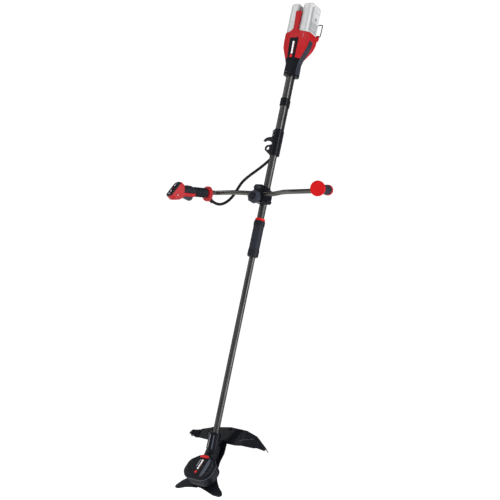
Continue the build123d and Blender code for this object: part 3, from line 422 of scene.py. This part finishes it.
# ---------------------------------------------------------------- floor, world and lights
def make_stage():
    """Plain pale floor, white surroundings and soft studio lights."""
    low = CAD_BOX[0].z - 0.15
    bm = bmesh.new()
    bmesh.ops.create_circle(bm, cap_ends=True, radius=30, segments=64)
    mesh = bpy.data.meshes.new("floor")
    bm.to_mesh(mesh)
    bm.free()
    floor = bpy.data.objects.new("floor", mesh)
    floor.location.z = low
    scene.collection.objects.link(floor)
    mat = surface("floor_paper", (0.86, 0.86, 0.86), 0.9, shade=0.02, patch=2, grain=60, specular=0.1)
    shader = mat.node_tree.nodes["Principled BSDF"]
    shader.inputs["Emission Color"].default_value = (1, 1, 1, 1)
    shader.inputs["Emission Strength"].default_value = 0.8
    mesh.materials.append(mat)

    world = bpy.data.worlds.new("studio")
    scene.world = world
    world.use_nodes = True
    tree = world.node_tree
    back = tree.nodes["Background"]
    back.inputs["Color"].default_value = (1, 1, 1, 1)
    rays = tree.nodes.new("ShaderNodeLightPath")
    level = tree.nodes.new("ShaderNodeMapRange")
    level.inputs["To Min"].default_value = 0.16
    level.inputs["To Max"].default_value = 1.05
    tree.links.new(rays.outputs["Is Camera Ray"], level.inputs["Value"])
    tree.links.new(level.outputs["Result"], back.inputs["Strength"])

    for name, direction, strength, angle in (
        ("key_sun", (0.93, -0.05, 0.35), 1.05, 24),
        ("fill_sun", (-0.2, -0.9, 0.5), 0.35, 50),
    ):
        data = bpy.data.lights.new(name, "SUN")
        data.energy = strength
        data.angle = radians(angle)
        lamp = bpy.data.objects.new(name, data)
        lamp.rotation_euler = Vector(direction).to_track_quat("Z", "Y").to_euler()
        scene.collection.objects.link(lamp)
    for name, at, size, power in (
        ("right_box", (2.2, 0.2, -0.2), (0.8, 2.6), 42),
        ("left_box", (-1.9, -1.6, 0.1), (0.4, 2.6), 22),
        ("top_box", (0.2, -1.9, 2.1), (2.2, 0.4), 46),
    ):
        data = bpy.data.lights.new(name, "AREA")
        data.shape = "RECTANGLE"
        data.size, data.size_y = size
        data.energy = power
        lamp = bpy.data.objects.new(name, data)
        aim = Vector(at) - Vector((0.03, 0.0, -0.4))
        lamp.matrix_world = Matrix.Translation(at) @ aim.to_track_quat("Z", "Y").to_matrix().to_4x4()
        lamp.visible_camera = False
        scene.collection.objects.link(lamp)
    scene.view_settings.view_transform = "Standard"


make_stage()


# ---------------------------------------------------------------- surface helpers
def along(local, u, v, turn=0.0):
    """The same frame, moved over its own plane and turned about its z, in degrees."""
    return local @ Matrix.Translation((u, v, 0)) @ Matrix.Rotation(radians(turn), 4, "Z")


def surface_height(node_name, local, u, v, reach=120.0):
    """Height over the local plane at which a CAD node is met from above, in mm, or None."""
    cad = frame["nodes"][node_name]
    into = cad.matrix_world.inverted()
    start = into @ ((local @ Vector((u, v, reach))) * MM)
    aim = into.to_3x3() @ (local.to_3x3() @ Vector((0, 0, -1)))
    hit, at = cad.ray_cast(start, aim)[:2]
    if not hit:
        return None
    return (local.inverted() @ ((cad.matrix_world @ at) / MM)).z


def add_draped(bm, node_name, local, width, height, thick, nu=4, nv=8, sink=0.4):
    """Add a thin slab that follows the surface of a CAD node, centred on the local origin."""
    top, low = [], []
    for k in range(nv + 1):
        row_top, row_low = [], []
        for i in range(nu + 1):
            u, v = (i / nu - 0.5) * width, (k / nv - 0.5) * height
            z = surface_height(node_name, local, u, v)
            if z is None:
                return False
            row_top.append((u, v, z + thick))
            row_low.append((u, v, z - sink))
        top.append([bm.verts.new(local @ Vector(p)) for p in row_top])
        low.append([bm.verts.new(local @ Vector(p)) for p in row_low])
    for k in range(nv):
        for i in range(nu):
            bm.faces.new((top[k][i], top[k][i + 1], top[k + 1][i + 1], top[k + 1][i]))
            bm.faces.new((low[k][i], low[k + 1][i], low[k + 1][i + 1], low[k][i + 1]))
    for k in range(nv):
        bm.faces.new((top[k][0], top[k + 1][0], low[k + 1][0], low[k][0]))
        bm.faces.new((top[k][nu], low[k][nu], low[k + 1][nu], top[k + 1][nu]))
    for i in range(nu):
        bm.faces.new((top[0][i], low[0][i], low[0][i + 1], top[0][i + 1]))
        bm.faces.new((top[nv][i], top[nv][i + 1], low[nv][i + 1], low[nv][i]))
    return True


def draped(name, node_name, patches, thick, body, mat, slot, nu=4, nv=8, **more):
    """Slabs that follow a CAD node: each patch is its frame, width and height."""
    bm = bmesh.new()
    laid = []
    for local, width, height in patches:
        laid.append(add_draped(bm, node_name, local, width, height, thick, nu, nv))
    if not all(laid):
        print("draped", name, "missed", laid.count(False), "of", len(laid))
    if not any(laid):
        bm.free()
        return None
    return finish_mesh(bm, name, body, mat, slot, **more)


def add_arc(bm, local, inner, outer, low, high, start, end, steps=16):
    """Add part of a ring, from one angle to another in degrees, to a bmesh."""
    rings = []
    for k in range(steps + 1):
        a = radians(start + (end - start) * k / steps)
        ring = []
        for radius, height in ((inner, low), (outer, low), (outer, high), (inner, high)):
            ring.append(bm.verts.new(local @ Vector((radius * cos(a), radius * sin(a), height))))
        rings.append(ring)
    for one, two in zip(rings, rings[1:]):
        for i in range(4):
            j = (i + 1) % 4
            bm.faces.new((one[i], one[j], two[j], two[i]))
    bm.faces.new(rings[0][::-1])
    bm.faces.new(rings[-1])


def arcs(name, pieces, local, body, mat, slot, **more):
    """Several parts of rings as one piece: inner, outer, low, high, start and end angle."""
    bm = bmesh.new()
    for piece in pieces:
        add_arc(bm, local, *piece)
    return finish_mesh(bm, name, body, mat, slot, **more)


def add_hoop(bm, local, outer, inner, low, high):
    """Add a flat hoop between two outlines with as many points each."""
    rings = []
    for outline, height in ((inner, low), (outer, low), (outer, high), (inner, high)):
        rings.append([bm.verts.new(local @ Vector((u, v, height))) for u, v in outline])
    count = len(outer)
    for k in range(4):
        one, two = rings[k], rings[(k + 1) % 4]
        for i in range(count):
            j = (i + 1) % count
            bm.faces.new((one[i], one[j], two[j], two[i]))


def softened(points, radius, steps=5):
    """Polygon outline with its corners rounded off."""
    outline = []
    count = len(points)
    for i in range(count):
        before, at, after = (Vector(points[(i + d) % count]) for d in (-1, 0, 1))
        first = at + (before - at).normalized() * radius
        last = at + (after - at).normalized() * radius
        for k in range(steps + 1):
            f = k / steps
            spot = first.lerp(at, f).lerp(at.lerp(last, f), f)
            outline.append((spot.x, spot.y))
    return outline


def add_screw(bm, local, radius, height):
    """Add a domed screw head with a six-sided socket to a bmesh."""
    rings = []
    for r, z, sides in ((radius, -0.5, 0), (radius, height * 0.55, 0), (radius * 0.8, height, 0),
                        (radius * 0.5, height, 6), (radius * 0.5, height * 0.3, 6), (0.02, height * 0.3, 0)):
        ring = []
        for i in range(24):
            a = 2 * pi * i / 24
            reach = r
            if sides:
                wedge = pi / 6
                reach = r * cos(wedge) / cos((a % (2 * wedge)) - wedge)
            ring.append(bm.verts.new(local @ Vector((reach * cos(a), reach * sin(a), z))))
        rings.append(ring)
    for one, two in zip(rings, rings[1:]):
        for i in range(24):
            j = (i + 1) % 24
            bm.faces.new((one[i], one[j], two[j], two[i]))


def screws(name, frames, radius, height, body, mat, slot):
    """Screw heads, one on each frame, as one piece."""
    bm = bmesh.new()
    for local in frames:
        add_screw(bm, local, radius, height)
    return finish_mesh(bm, name, body, mat, slot)


def on_surface(node_name, local):
    """The same frame, moved along its z onto a CAD node."""
    height = surface_height(node_name, local, 0, 0)
    return shift(local, 0.0 if height is None else height)


# ---------------------------------------------------------------- battery packs
def make_packs():
    """Mouldings of the two battery packs: bands, ribs, seams and end caps; the darker ones are painted shade.
    """
    for side, word in ((-1, "right"), (1, "left")):
        body = f"battery_{word}"
        node_name = body
        front = facing(0, SHAFT_X)
        outer = basis((SHAFT_X, PACK_MIDDLE_Y, 0), (side, 0, 0), (0, side, 0))
        bevel = basis((SHAFT_X + side * 45, 0, 0), (side, -1, 0), (side, 1, 0))
        x0 = side * 30.5
        draped(f"pack_{word}_front_plate", node_name, [(along(front, x0 - side * 2, 571), 22, 112)], 1.2,
               body, "pack_grey", "pack_grey", bevel=0.6)
        # Front bands in the darker grey: painted shade.
        draped(f"pack_{word}_front_bands", node_name,
               [(along(front, x0 - side * 15.2, 573), 2.2, 118),
                (along(front, x0 + side * 12.2, 573), 1.4, 118)],
               0.5, body, "pack_painted_shade", "pack_grey")
        draped(f"pack_{word}_ribs", node_name,
               [(along(front, x0 - side * 2, z), 16, 2.0) for z in (530, 541, 552, 600, 611)], 1.9, body,
               "pack_grey", "pack_grey", bevel=0.4)
        # Bevel and outer side plates in the darker grey: painted shade of these faces.
        draped(f"pack_{word}_bevel_plate", node_name, [(along(bevel, 0, 570), 9.5, 108)], 0.5, body,
               "pack_painted_shade", "pack_grey", bevel=0.2)
        draped(f"pack_{word}_side_plate", node_name, [(along(outer, 0, 540), 50, 42)], 1.2, body,
               "pack_painted_shade", "pack_grey", nu=6, bevel=0.6)
        draped(f"pack_{word}_side_ribs", node_name,
               [(along(outer, u, 540), 2.6, 34) for u in (-18, -9, 0, 9, 18)],
               2.2, body, "pack_grey", "pack_grey", bevel=0.5)
        draped(f"pack_{word}_seam", node_name, [(along(outer, 0, 609), 54, 1.2)], 0.35, body, "grey_print",
               "pack_grey")
        top = basis((SHAFT_X + side * 34, 17, 0), Z_AXIS, X_AXIS)
        draped(f"pack_{word}_top_plate", node_name, [(top, 22, 54)], 1.4, body, "pack_grey", "pack_grey",
               bevel=0.7)
        # Top ribs in the darker grey: painted shade.
        draped(f"pack_{word}_top_ribs", node_name, [(along(top, 0, v), 16, 2.2) for v in (-18, -9, 0, 9, 18)],
               2.4, body, "pack_painted_shade", "pack_grey", bevel=0.5)
        rear = basis((SHAFT_X, 0, 0), Y_AXIS, -X_AXIS)
        # Rear plate in the darker grey: painted shade of the rear face.
        draped(f"pack_{word}_rear_plate", node_name, [(along(rear, -x0, 568), 30, 96)], 1.0, body,
               "pack_painted_shade", "pack_grey", bevel=0.5)
        latch = f"battery_latch_{word}"
        draped(f"latch_{word}_ribs", latch, [(along(outer, 0, z), 16, 1.6) for z in (571, 575, 579, 583)],
               0.9, latch, "grey_print", SLOT_OF[latch], bevel=0.3)


# ---------------------------------------------------------------- tail housing
def make_housing():
    """Label, seams, ribs, vents and screws of the tail housing and its tower."""
    front = facing(0, SHAFT_X)
    panel = "label_panel"
    bars = [(along(front, 1.0, z, -1.5), 7.6, 12.6) for z in (417, 431, 445, 459)]
    draped("tail_label_bar", panel, bars, 0.25, "shaft", "white_print", "black_plastic")
    draped("tail_label_line", panel, [(along(front, 8.6, 440, -1.5), 2.2, 46)], 0.25, "shaft", "dull_red",
           "red_plastic")
    draped("tail_label_rim", panel, [(along(front, -17.6, 441, -2.0), 0.9, 60),
                                     (along(front, 17.6, 441, 2.0), 0.9, 60)],
           0.5, "shaft", "black_plastic", "black_plastic")
    pill = on_surface(panel, along(front, -0.5, 401))
    prism("tail_label_mark", [rounded(12, 13, 5)], pill, -0.6, 0.7, "shaft", "red_print", "red_plastic",
          bevel=0.3)
    draped("neck_line", "neck_cuff", [(along(front, -9, 331), 9, 1.2)], 0.2, "shaft", "grey_print",
           "black_plastic")
    draped("neck_band", "neck_cuff", [(along(front, 0, 336.5), 28, 1.2), (along(front, 0, 386), 28, 1.0)],
           0.5, "shaft", "black_plastic", "black_plastic")
    for side, word in ((-1, "right"), (1, "left")):
        flank = basis((SHAFT_X, 0, 0), (side, 0, 0), (0, side, 0))
        ribs = []
        for z, middle in ((334, 9), (343, 9), (352, 8.6), (361, 8.3), (370, 8), (405, 7.4), (414, 7.8),
                          (423, 8.2),
                          (432, 8.6), (441, 9), (452, 10), (461, 12), (470, 13)):
            ribs.append((along(flank, side * middle, z), 12, 2.4))
        draped(f"grip_ribs_{word}", "side_grips", ribs, 0.9, "shaft", "slate_rubber", "black_rubber",
               bevel=0.4)
        for shell, u, height in (("housing_front_shell", -13, 44), ("housing_rear_shell", 44, 36)):
            draped(f"{shell}_line_{word}", shell, [(along(flank, side * u, 484), 1.0, height)], 0.35, "shaft",
                   "dull_red", "red_plastic")
        draped(f"split_line_{word}", "housing_rear_shell",
               [(along(flank, side * (SPLIT_Y + 1.2), 496), 0.9, 24)], 0.3,
               "shaft", "dull_red", "red_plastic")
        # Thin black strips on each side of the tower, near its front.
        draped(f"tower_side_strip_{word}", "battery_tower",
               [(along(flank, side * -25.5, 560), 3.2, 76), (along(flank, side * -19.5, 560), 1.2, 76)], 0.28,
               "shaft", "black_plastic", "black_plastic")
    rear = basis((SHAFT_X, 0, 0), Y_AXIS, -X_AXIS)
    draped("rear_vents", "housing_rear_shell",
           [(along(rear, 0, z), 52, 3.0) for z in (462, 470, 478, 486, 494)], 0.5,
           "shaft", "black_plastic", "black_plastic", nu=8, nv=2, bevel=0.3)
    draped("rear_vent_frame", "housing_rear_shell",
           [(along(rear, 0, 455), 60, 1.6), (along(rear, 0, 502), 60, 1.6), (along(rear, -29, 478), 1.6, 46),
            (along(rear, 29, 478), 1.6, 46)], 0.9, "shaft", "red_plastic", "red_plastic", nu=8, nv=4,
            bevel=0.3)
    spots = [on_surface("housing_rear_shell", along(rear, u, v)) for u,
             v in ((-44, 496), (44, 496), (-40, 462), (40, 462))]
    screws("housing_screws", spots, 3.4, 1.6, "shaft", "steel", "steel")
    prism("tower_shoulders", [[(-27, 510.4), (-11.9, 510.4), (-11.9, 525), (-16, 523)],
                              [(27, 510.4), (20, 514), (11.9, 519), (11.9, 510.4)]], facing(-22.4), 0, 4.6,
                              "shaft",
          "red_plastic", "red_plastic", bevel=0.8)
    draped("tower_front_inlay", "battery_tower", [(along(front, 0, 552), 15, 74)], 0.5, "shaft",
           "red_plastic", "red_plastic", bevel=0.25)
    draped("tower_front_lines", "battery_tower",
           [(along(front, -9.2, 552), 1.0, 78), (along(front, 9.2, 552), 1.0, 78)],
           0.2, "shaft", "dull_red", "red_plastic")
    cap = basis((SHAFT_X, 2, 0), Z_AXIS, X_AXIS)
    draped("tower_top_ribs", "battery_tower", [(along(cap, 0, v), 15, 1.8) for v in (-14, -7, 0, 7, 14, 21)],
           0.9, "shaft", "red_plastic", "red_plastic", bevel=0.4)
    draped("charge_lights", "housing_front_shell", [(along(front, 38, z), 3.0, 3.0) for z in (488, 494, 500)],
           0.5, "shaft", "grey_print", "black_plastic", bevel=0.3)


# ---------------------------------------------------------------- shaft fittings
def make_shaft_fittings():
    """Ribs and bands of the collar, the cable clip, the coupling and the handlebar clamp."""
    axis = basis((SHAFT_X, 0, 0), Z_AXIS, X_AXIS)
    lower = [(17.2, 18.5, z, z + 1.6, -172, -42) for z in (-31, -24, -17, 10, 15)]
    arcs("collar_ribs", lower, axis, "shaft", "black_plastic", "black_plastic", bevel=0.4)
    arcs("collar_top_ribs", [(17.2, 18.6, z, z + 2.2, -168, 40) for z in (51, 64, 77)], axis, "shaft",
         "black_plastic", "black_plastic", bevel=0.5)
    arcs("collar_front_bar", [(16.2, 18.0, 20, 50, a - 6, a + 6) for a in (-118, -92, -66)], axis, "shaft",
         "black_plastic", "black_plastic", bevel=0.5)
    arcs("clip_ribs", [(17.6, 19.4, z, z + 2.4, -170, 60) for z in (187, 200.8, 214.6)], axis, "shaft",
         "black_plastic", "black_plastic", bevel=0.5)
    front = facing(0, SHAFT_X)
    prism("hook_ridge", [softened(((-24, 32), (-22, 36.5), (-13, 43.5), (0, 46.5), (12, 46.5), (12, 44),
                                   (0, 44),
                                   (-12, 41), (-19, 35)), 1.0)], facing(5, 0), -0.3, 0.9, "shaft",
                                   "black_plastic",
          "black_plastic", bevel=0.3)
    turned("eyelet_bush", [ring_profile(8.05, 11.4, -0.4, 1.1, 0.6)], facing(-3.0, 0), "shaft",
           "black_plastic", "black_plastic", bevel=0.0)
    turned("tube_end_band", [ring_profile(15.02, 16.4, -312.6, -306, 0.8)], axis, "shaft", "red_plastic",
           "red_plastic")
    turned("sleeve_rings", [ring_profile(22.0, 23.3, z, z + 2.0, 0.6) for z in (-321, -326, -331, -443, -449,
                                                                                -455)],
           axis, "coupling_sleeve", "black_rubber", SLOT_OF["coupling_sleeve"])
    ribs = [(20.8, 21.65, -431, -341, a - 2.6, a + 2.6, 3) for a in range(0, 360, 15)]
    arcs("sleeve_grip_ribs", ribs, axis, "coupling_sleeve", "slate_rubber", SLOT_OF["coupling_sleeve"],
         bevel=0.25)
    # Cap ribs in the lighter slate: painted highlight.
    draped("clamp_cap_ribs", "clamp_cap", [(along(front, u, -188), 2.4, 14) for u in (-5, 0, 5)], 1.2,
           "shaft", "slate_painted_highlight", "black_plastic", bevel=0.5)
    knob = facing(KNOB_FACE_Y, SHAFT_X, KNOB_Z)
    turned("knob_face", [ring_profile(4.6, 17.0, -0.3, 1.2, 0.8), ring_profile(11.0, 13.0, 1.0, 2.2, 0.4)],
           knob, "clamp_knob", "black_plastic", SLOT_OF["clamp_knob"])
    # Knob ribs in the lighter slate: painted highlight.
    bm = bmesh.new()
    for i in range(16):
        turn = knob @ Matrix.Rotation(radians(22.5 * i + 11.25), 4, "Z")
        add_prism(bm, rounded(5.0, 1.6, 0.7, 16.5, 0), turn, -0.5, 1.4)
    finish_mesh(bm, "knob_ribs", "clamp_knob", "slate_painted_highlight", SLOT_OF["clamp_knob"], bevel=0.3)
    for side, word in ((-1, "right"), (1, "left")):
        cheek = basis((SHAFT_X + side * 22, 0, 0), (side, 0, 0), (0, side, 0))
        draped(f"clamp_cheek_{word}", "clamp_saddle",
               [(along(cheek, side * -12, z), 14, 2.2) for z in (-182, -188, -194)], 1.2, "shaft",
               "slate_rubber", "black_plastic", bevel=0.5)
    back = basis((SHAFT_X, 0, -206), Y_AXIS, -X_AXIS)
    draped("clamp_back_ribs", "clamp_back", [(along(back, 0, v), 16, 2.4) for v in (-18, -9, 0, 9, 18)], 1.2,
           "shaft", "black_plastic", "black_plastic", bevel=0.5)


# ---------------------------------------------------------------- handlebar grips
def make_grips():
    """Texture of both grips, the strain relief of the cable and the markings of the control head."""
    left = basis(LEFT_BEND, LEFT_AXIS, Z_AXIS)
    rings = []
    for at in range(44, 150, 7):
        swell = 17.0 + 1.5 * abs(at - 95) / 58
        rings.append(ring_profile(swell - 0.8, swell + 0.75, at, at + 3.2, 0.6))
    turned("left_grip_rings", rings, left, "handlebar", "slate_rubber", "black_rubber")
    turned("left_disc_rim", [ring_profile(26.0, 28.6, 158.7, 160.0, 0.5),
                             ring_profile(0.05, 8.0, 158.7, 159.8, 0.5)],
           left, "handlebar", "bright_red", "red_plastic")
    right = basis(RIGHT_BEND, RIGHT_AXIS, -Z_AXIS)
    bm = bmesh.new()
    for at in range(56, 110, 6):
        add_hoop(bm, right, ellipse(20.3, 18.3, 4, 0), ellipse(18.6, 16.6, 4, 0), at, at + 2.8)
    finish_mesh(bm, "trigger_grip_rings", "handlebar", "black_rubber", "black_rubber", bevel=0.5)
    bm = bmesh.new()
    for at in (31.5, 37.5):
        add_hoop(bm, right, ellipse(31.5, 29.5, 7, 0), ellipse(30.2, 28.2, 7, 0), at, at + 3.0)
    finish_mesh(bm, "flange_rings", "handlebar", "red_plastic", "red_plastic", bevel=0.6)
    ahead = Vector(CABLE_ROUTE[-1]) - Vector(CABLE_ROUTE[-2])
    entry = basis(CABLE_ROUTE[-1], ahead, Z_AXIS)
    relief = []
    for k in range(4):
        outer = 9.4 - 0.55 * k
        relief.append(ring_profile(6.05, outer, -17.0 - 5.0 * k, -13.2 - 5.0 * k, 0.8))
    relief.append(ring_profile(6.03, 7.2, -33.0, -12.0, 0.5))
    turned("strain_relief", relief, entry, "handlebar", "black_rubber", "black_rubber", segments=32)

    to_trigger = right.to_3x3() @ Vector((1, 0, 0))
    centre = Vector(RIGHT_BEND) + RIGHT_AXIS * PANEL_AT + to_trigger * PANEL_OUT
    normal = RIGHT_AXIS * cos(PANEL_TILT) - to_trigger * sin(PANEL_TILT)
    long_way = RIGHT_AXIS * sin(PANEL_TILT) + to_trigger * cos(PANEL_TILT)
    panel = shift(basis(centre, normal, long_way), PANEL_THICK)
    bm = bmesh.new()
    add_hoop(bm, panel, rounded(74, 36, 14), rounded(71.5, 33.5, 12.8), -0.3, 0.6)
    finish_mesh(bm, "panel_rim", "handlebar", "slate_rubber", "black_plastic", bevel=0.25)
    prism("panel_marks", [rounded(2.0, 10, 0.9, -28, 0), rounded(2.0, 7, 0.9, -24.5, 0)], panel, -0.3, 0.35,
          "handlebar", "grey_print", "black_plastic")
    prism("panel_lights", [rounded(3.6, 2.2, 1.0, 28, v) for v in (-7.5, -2.5, 2.5, 7.5)], panel, -0.3, 0.6,
          "handlebar", "white_print", "black_plastic")
    prism("panel_red_light", [rounded(3.0, 5.0, 1.2, -1, 0)], panel, -0.3, 0.6, "handlebar", "red_print",
          "red_plastic")
    for at, word in ((-16, "power_button"), (14, "speed_button")):
        face = shift(along(panel, at, 0), 1.35)
        turned(f"{word}_ring", [ring_profile(3.2, 4.2, -0.3, 0.45, 0.2)], face, word, "white_print",
               SLOT_OF[word],
               segments=32)
        prism(f"{word}_bar", [rounded(1.1, 3.6, 0.5)], face, -0.3, 0.45, word, "white_print", SLOT_OF[word])
    for side, word in ((-1, "inner"), (1, "outer")):
        flank = right @ Matrix.Rotation(radians(90 * side), 4, "Z")
        cheek = basis(flank.translation, flank.to_3x3() @ Vector((1, 0, 0)), RIGHT_AXIS)
        sign = 1 if (cheek.to_3x3() @ Vector((0, 1, 0))).dot(to_trigger) > 0 else -1
        spots = []
        for t, out in ((124, 0), (166, 8)):
            spots.append(on_surface(f"trigger_grip_{word}", along(cheek, t, sign * out)))
        screws(f"trigger_grip_screws_{word}", spots, 2.6, 1.2, "handlebar", "steel", "steel")
        spot = on_surface("control_head", along(cheek, 205, sign * 26))
        screws(f"control_head_screw_{word}", [spot], 2.8, 1.2, "handlebar", "steel", "steel")


# ---------------------------------------------------------------- motor head, guard and blade
def head_points(grow):
    """Outline of the motor housing in the plane of the blade."""
    right = [(40 + grow, -48 - grow), (64 + grow, -24), (64 + grow, 28), (27 + grow, 61 + grow)]
    return right + [(-x, y) for x, y in reversed(right)]


def make_head():
    """Raised plates, label, rim, vents and ribs of the motor head; the rim, lip, ridge and neck ridges are
    lighter, as painted highlight.
    """
    body = "lower_shaft"
    plate = basis(BLADE_CENTRE + SPINDLE_UP * COVER_TOP, SPINDLE_UP, X_AXIS)
    # Rim in slate on the black cover: painted highlight.
    bm = bmesh.new()
    add_hoop(bm, plate, softened(head_points(-8.5), 14), softened(head_points(-11), 13), -0.5, 1.1)
    finish_mesh(bm, "cover_rim", body, "slate_rubber", "black_plastic", bevel=0.4)
    low = shift(plate, -10.4)
    # Lip in the lighter slate: painted highlight.
    bm = bmesh.new()
    add_hoop(bm, low, softened(head_points(2.2), 16), softened(head_points(0.2), 16), 0.0, 2.6)
    finish_mesh(bm, "cover_lip", body, "slate_painted_highlight", "black_plastic", bevel=0.8)
    prism("cover_plate", [softened(((-27, -34), (-22, -38), (17, -38), (21, -34), (21, 40), (-27, 40)), 2.5)],
          plate,
          -0.5, 3.4, body, "black_plastic", "black_plastic", bevel=1.4, steps=3)
    # Ridge in the lighter slate: painted highlight.
    prism("cover_ridge", [softened(((23, -37), (31, -37), (37, -28), (37, 30), (31, 42), (23, 42)), 2.5)],
          plate, -0.5, 4.2, body, "slate_painted_highlight", "black_plastic", bevel=2.2, steps=3)
    label = shift(plate, 3.4)
    prism("cover_label_bar", [rounded(6, 10.5, 0.8, 0, v) for v in (-5, 7, 19, 30)], label, -0.3, 0.3, body,
          "white_print", "black_plastic")
    prism("cover_label_line", [rounded(1.8, 42, 0.6, 6.5, 10)], label, -0.3, 0.3, body, "dull_red",
          "red_plastic")
    prism("cover_label_side", [rounded(5, 34, 0.8, -11, 18)], label, -0.3, 0.25, body, "grey_print",
          "black_plastic")
    prism("cover_label_mark", [rounded(11, 11, 4.6, 0, -23)], label, -0.4, 0.6, body, "red_print",
          "red_plastic", bevel=0.2)
    prism("cover_red_tab", [softened(((-24, 48), (-17, 57), (12, 57), (19, 50), (12, 46), (-18, 44)), 2.0)],
          plate,
          -0.5, 3.6, body, "red_print", "red_plastic", bevel=1.0)
    for side, word in ((-1, "right"), (1, "left")):
        wall = basis(BLADE_CENTRE + X_AXIS * side * 64, X_AXIS * side, REARWARD)
        prism(f"wall_vents_{word}", [rounded(3.2, 24, 1.4, u, side * 36) for u in (-16, -8, 0, 8, 16)], wall,
              -0.4, 1.3,
              body, "slate_rubber", "black_plastic", bevel=0.5)
        spots = [along(plate, side * 48, v) for v in (-16, 22)]
        screws(f"cover_screws_{word}", spots, 2.8, 0.9, body, "dark_steel", "steel")
    nose = basis(BLADE_CENTRE - REARWARD * 48, -REARWARD, X_AXIS)
    prism("nose_vents", [rounded(3.0, 22, 1.4, u, 36) for u in (-24, -16, -8, 0, 8, 16, 24)], nose, -0.4, 1.2,
          body, "black_plastic", "black_plastic", bevel=0.5)
    neck = facing(-21.4, SHAFT_X, -1215)
    prism("neck_strip", [rounded(2.6, 52, 1.0, -7.5, 0)], neck, -1.6, 1.5, body, "steel", "steel", bevel=0.3)
    # Neck ridges in the lighter slate: painted highlight.
    prism("neck_ridges", [rounded(4.0, 56, 1.6, 9.5, -2), rounded(3.0, 56, 1.4, -13.5, -2)], neck, -3.2, 1.2,
          body, "slate_painted_highlight", "black_plastic", bevel=0.6)
    axis = basis((SHAFT_X, 0, 0), Z_AXIS, X_AXIS)
    turned("neck_collar", [ring_profile(12.56, 20.6, -1184.4, -1179.5, 1.4),
                           ring_profile(21.6, 23.2, -1194, -1190, 0.8)],
           axis, body, "black_plastic", "black_plastic")


def make_guard():
    """Ribs, rim pads and edge bead of the guard, and a painted highlight along its crease."""
    body = "lower_shaft"
    above = basis(BLADE_CENTRE, SPINDLE_UP, X_AXIS)
    ribs = []
    for x, y in ((-150, 172), (-112, 166), (-74, 172), (-36, 176), (48, 178), (88, 178), (126, 176),
                 (160, 174)):
        ribs.append((along(above, x, y), 2.6, 20))
    draped("guard_ribs", "guard", ribs, 1.8, body, "black_plastic", "black_plastic", nu=2, nv=8, bevel=0.5)
    pads = []
    for x, y, turn in ((-120, 174, 24), (-56, 194, 16), (23, 206, 5), (104, 204, -10), (150, 197, -22),
                       (176, 181, -38)):
        pads.append((along(above, x, y, turn), 11, 9))
    draped("guard_rim_pads", "guard", pads, 5.0, body, "black_plastic", "black_plastic", nu=3, nv=3,
           bevel=1.2)
    # Lighter slate line along the crease: painted highlight.
    draped("guard_crease_highlight", "guard", [(along(above, 116, 178, -64), 1.4, 62)], 0.7, body, "slate_painted_highlight",
           "black_plastic", nu=2, nv=10)
    front = [(along(above, x, y, turn), length, 2.4) for x, y, turn, length in
             ((-100, 151, -3, 44), (2, 149.5, 0, 120), (116, 155, 9, 56))]
    draped("guard_front_bead", "guard", front, 1.2, body, "black_plastic", "black_plastic", nu=12, nv=1,
           bevel=0.4)
    draped("guard_label", "guard", [(along(above, -60, 172, 4), 22, 9)], 0.3, body, "slate_rubber",
           "black_plastic", nu=6, nv=4)


def make_blade():
    """Ground edges of the three teeth and the plate round the hub."""
    bm = bmesh.new()
    for k in range(3):
        turn = Matrix.Rotation(radians(BLADE_SPIN + 120 * k), 4, "Z")
        local = basis(BLADE_CENTRE, SPINDLE_UP, X_AXIS) @ turn
        add_prism(bm, [(54, -32.2), (96, -23.6), (120.4, -12), (126.3, -2.4), (122, -6), (94, -18.5),
                       (54, -28)], local,
                  -1.25, 1.25)
    finish_mesh(bm, "ground_edges", "blade_set", "ground_steel", "blade_steel", bevel=0.3)
    hub = basis(BLADE_CENTRE, SPINDLE_UP, X_AXIS)
    turned("hub_ring", [ring_profile(38, 44, 0.8, 1.7, 0.3)], hub, "blade_set", "blade_steel", "blade_steel")
    bm = bmesh.new()
    for k in range(6):
        turn = hub @ Matrix.Rotation(radians(60 * k + 15), 4, "Z")
        add_prism(bm, rounded(9, 3.2, 1.5, 34, 0), turn, -1.5, 1.5)
    finish_mesh(bm, "hub_marks", "blade_set", "ground_steel", "blade_steel", bevel=0.2)


# ---------------------------------------------------------------- finishes of the CAD nodes
NODE_FINISH = {
    "handlebar_tube": "bar_tube",
    "side_grips": "slate_rubber",
    "left_grip_rubber": "slate_rubber",
    "left_grip_ends": "bright_red",
    "coupling_ring": "bright_red",
    "clamp_knob": "slate_rubber",
    "trigger": "slate_rubber",
    "clamp_bolts": "dark_steel",
    "hanging_bail": "dark_steel",
}
for name, cad in frame["nodes"].items():
    finish = MATS[NODE_FINISH.get(name, SLOT_OF[name])]
    if not cad.data.materials:
        cad.data.materials.append(finish)
    for place in cad.material_slots:
        place.material = finish


make_packs()
make_housing()
make_shaft_fittings()
make_grips()
make_head()
make_guard()
make_blade()
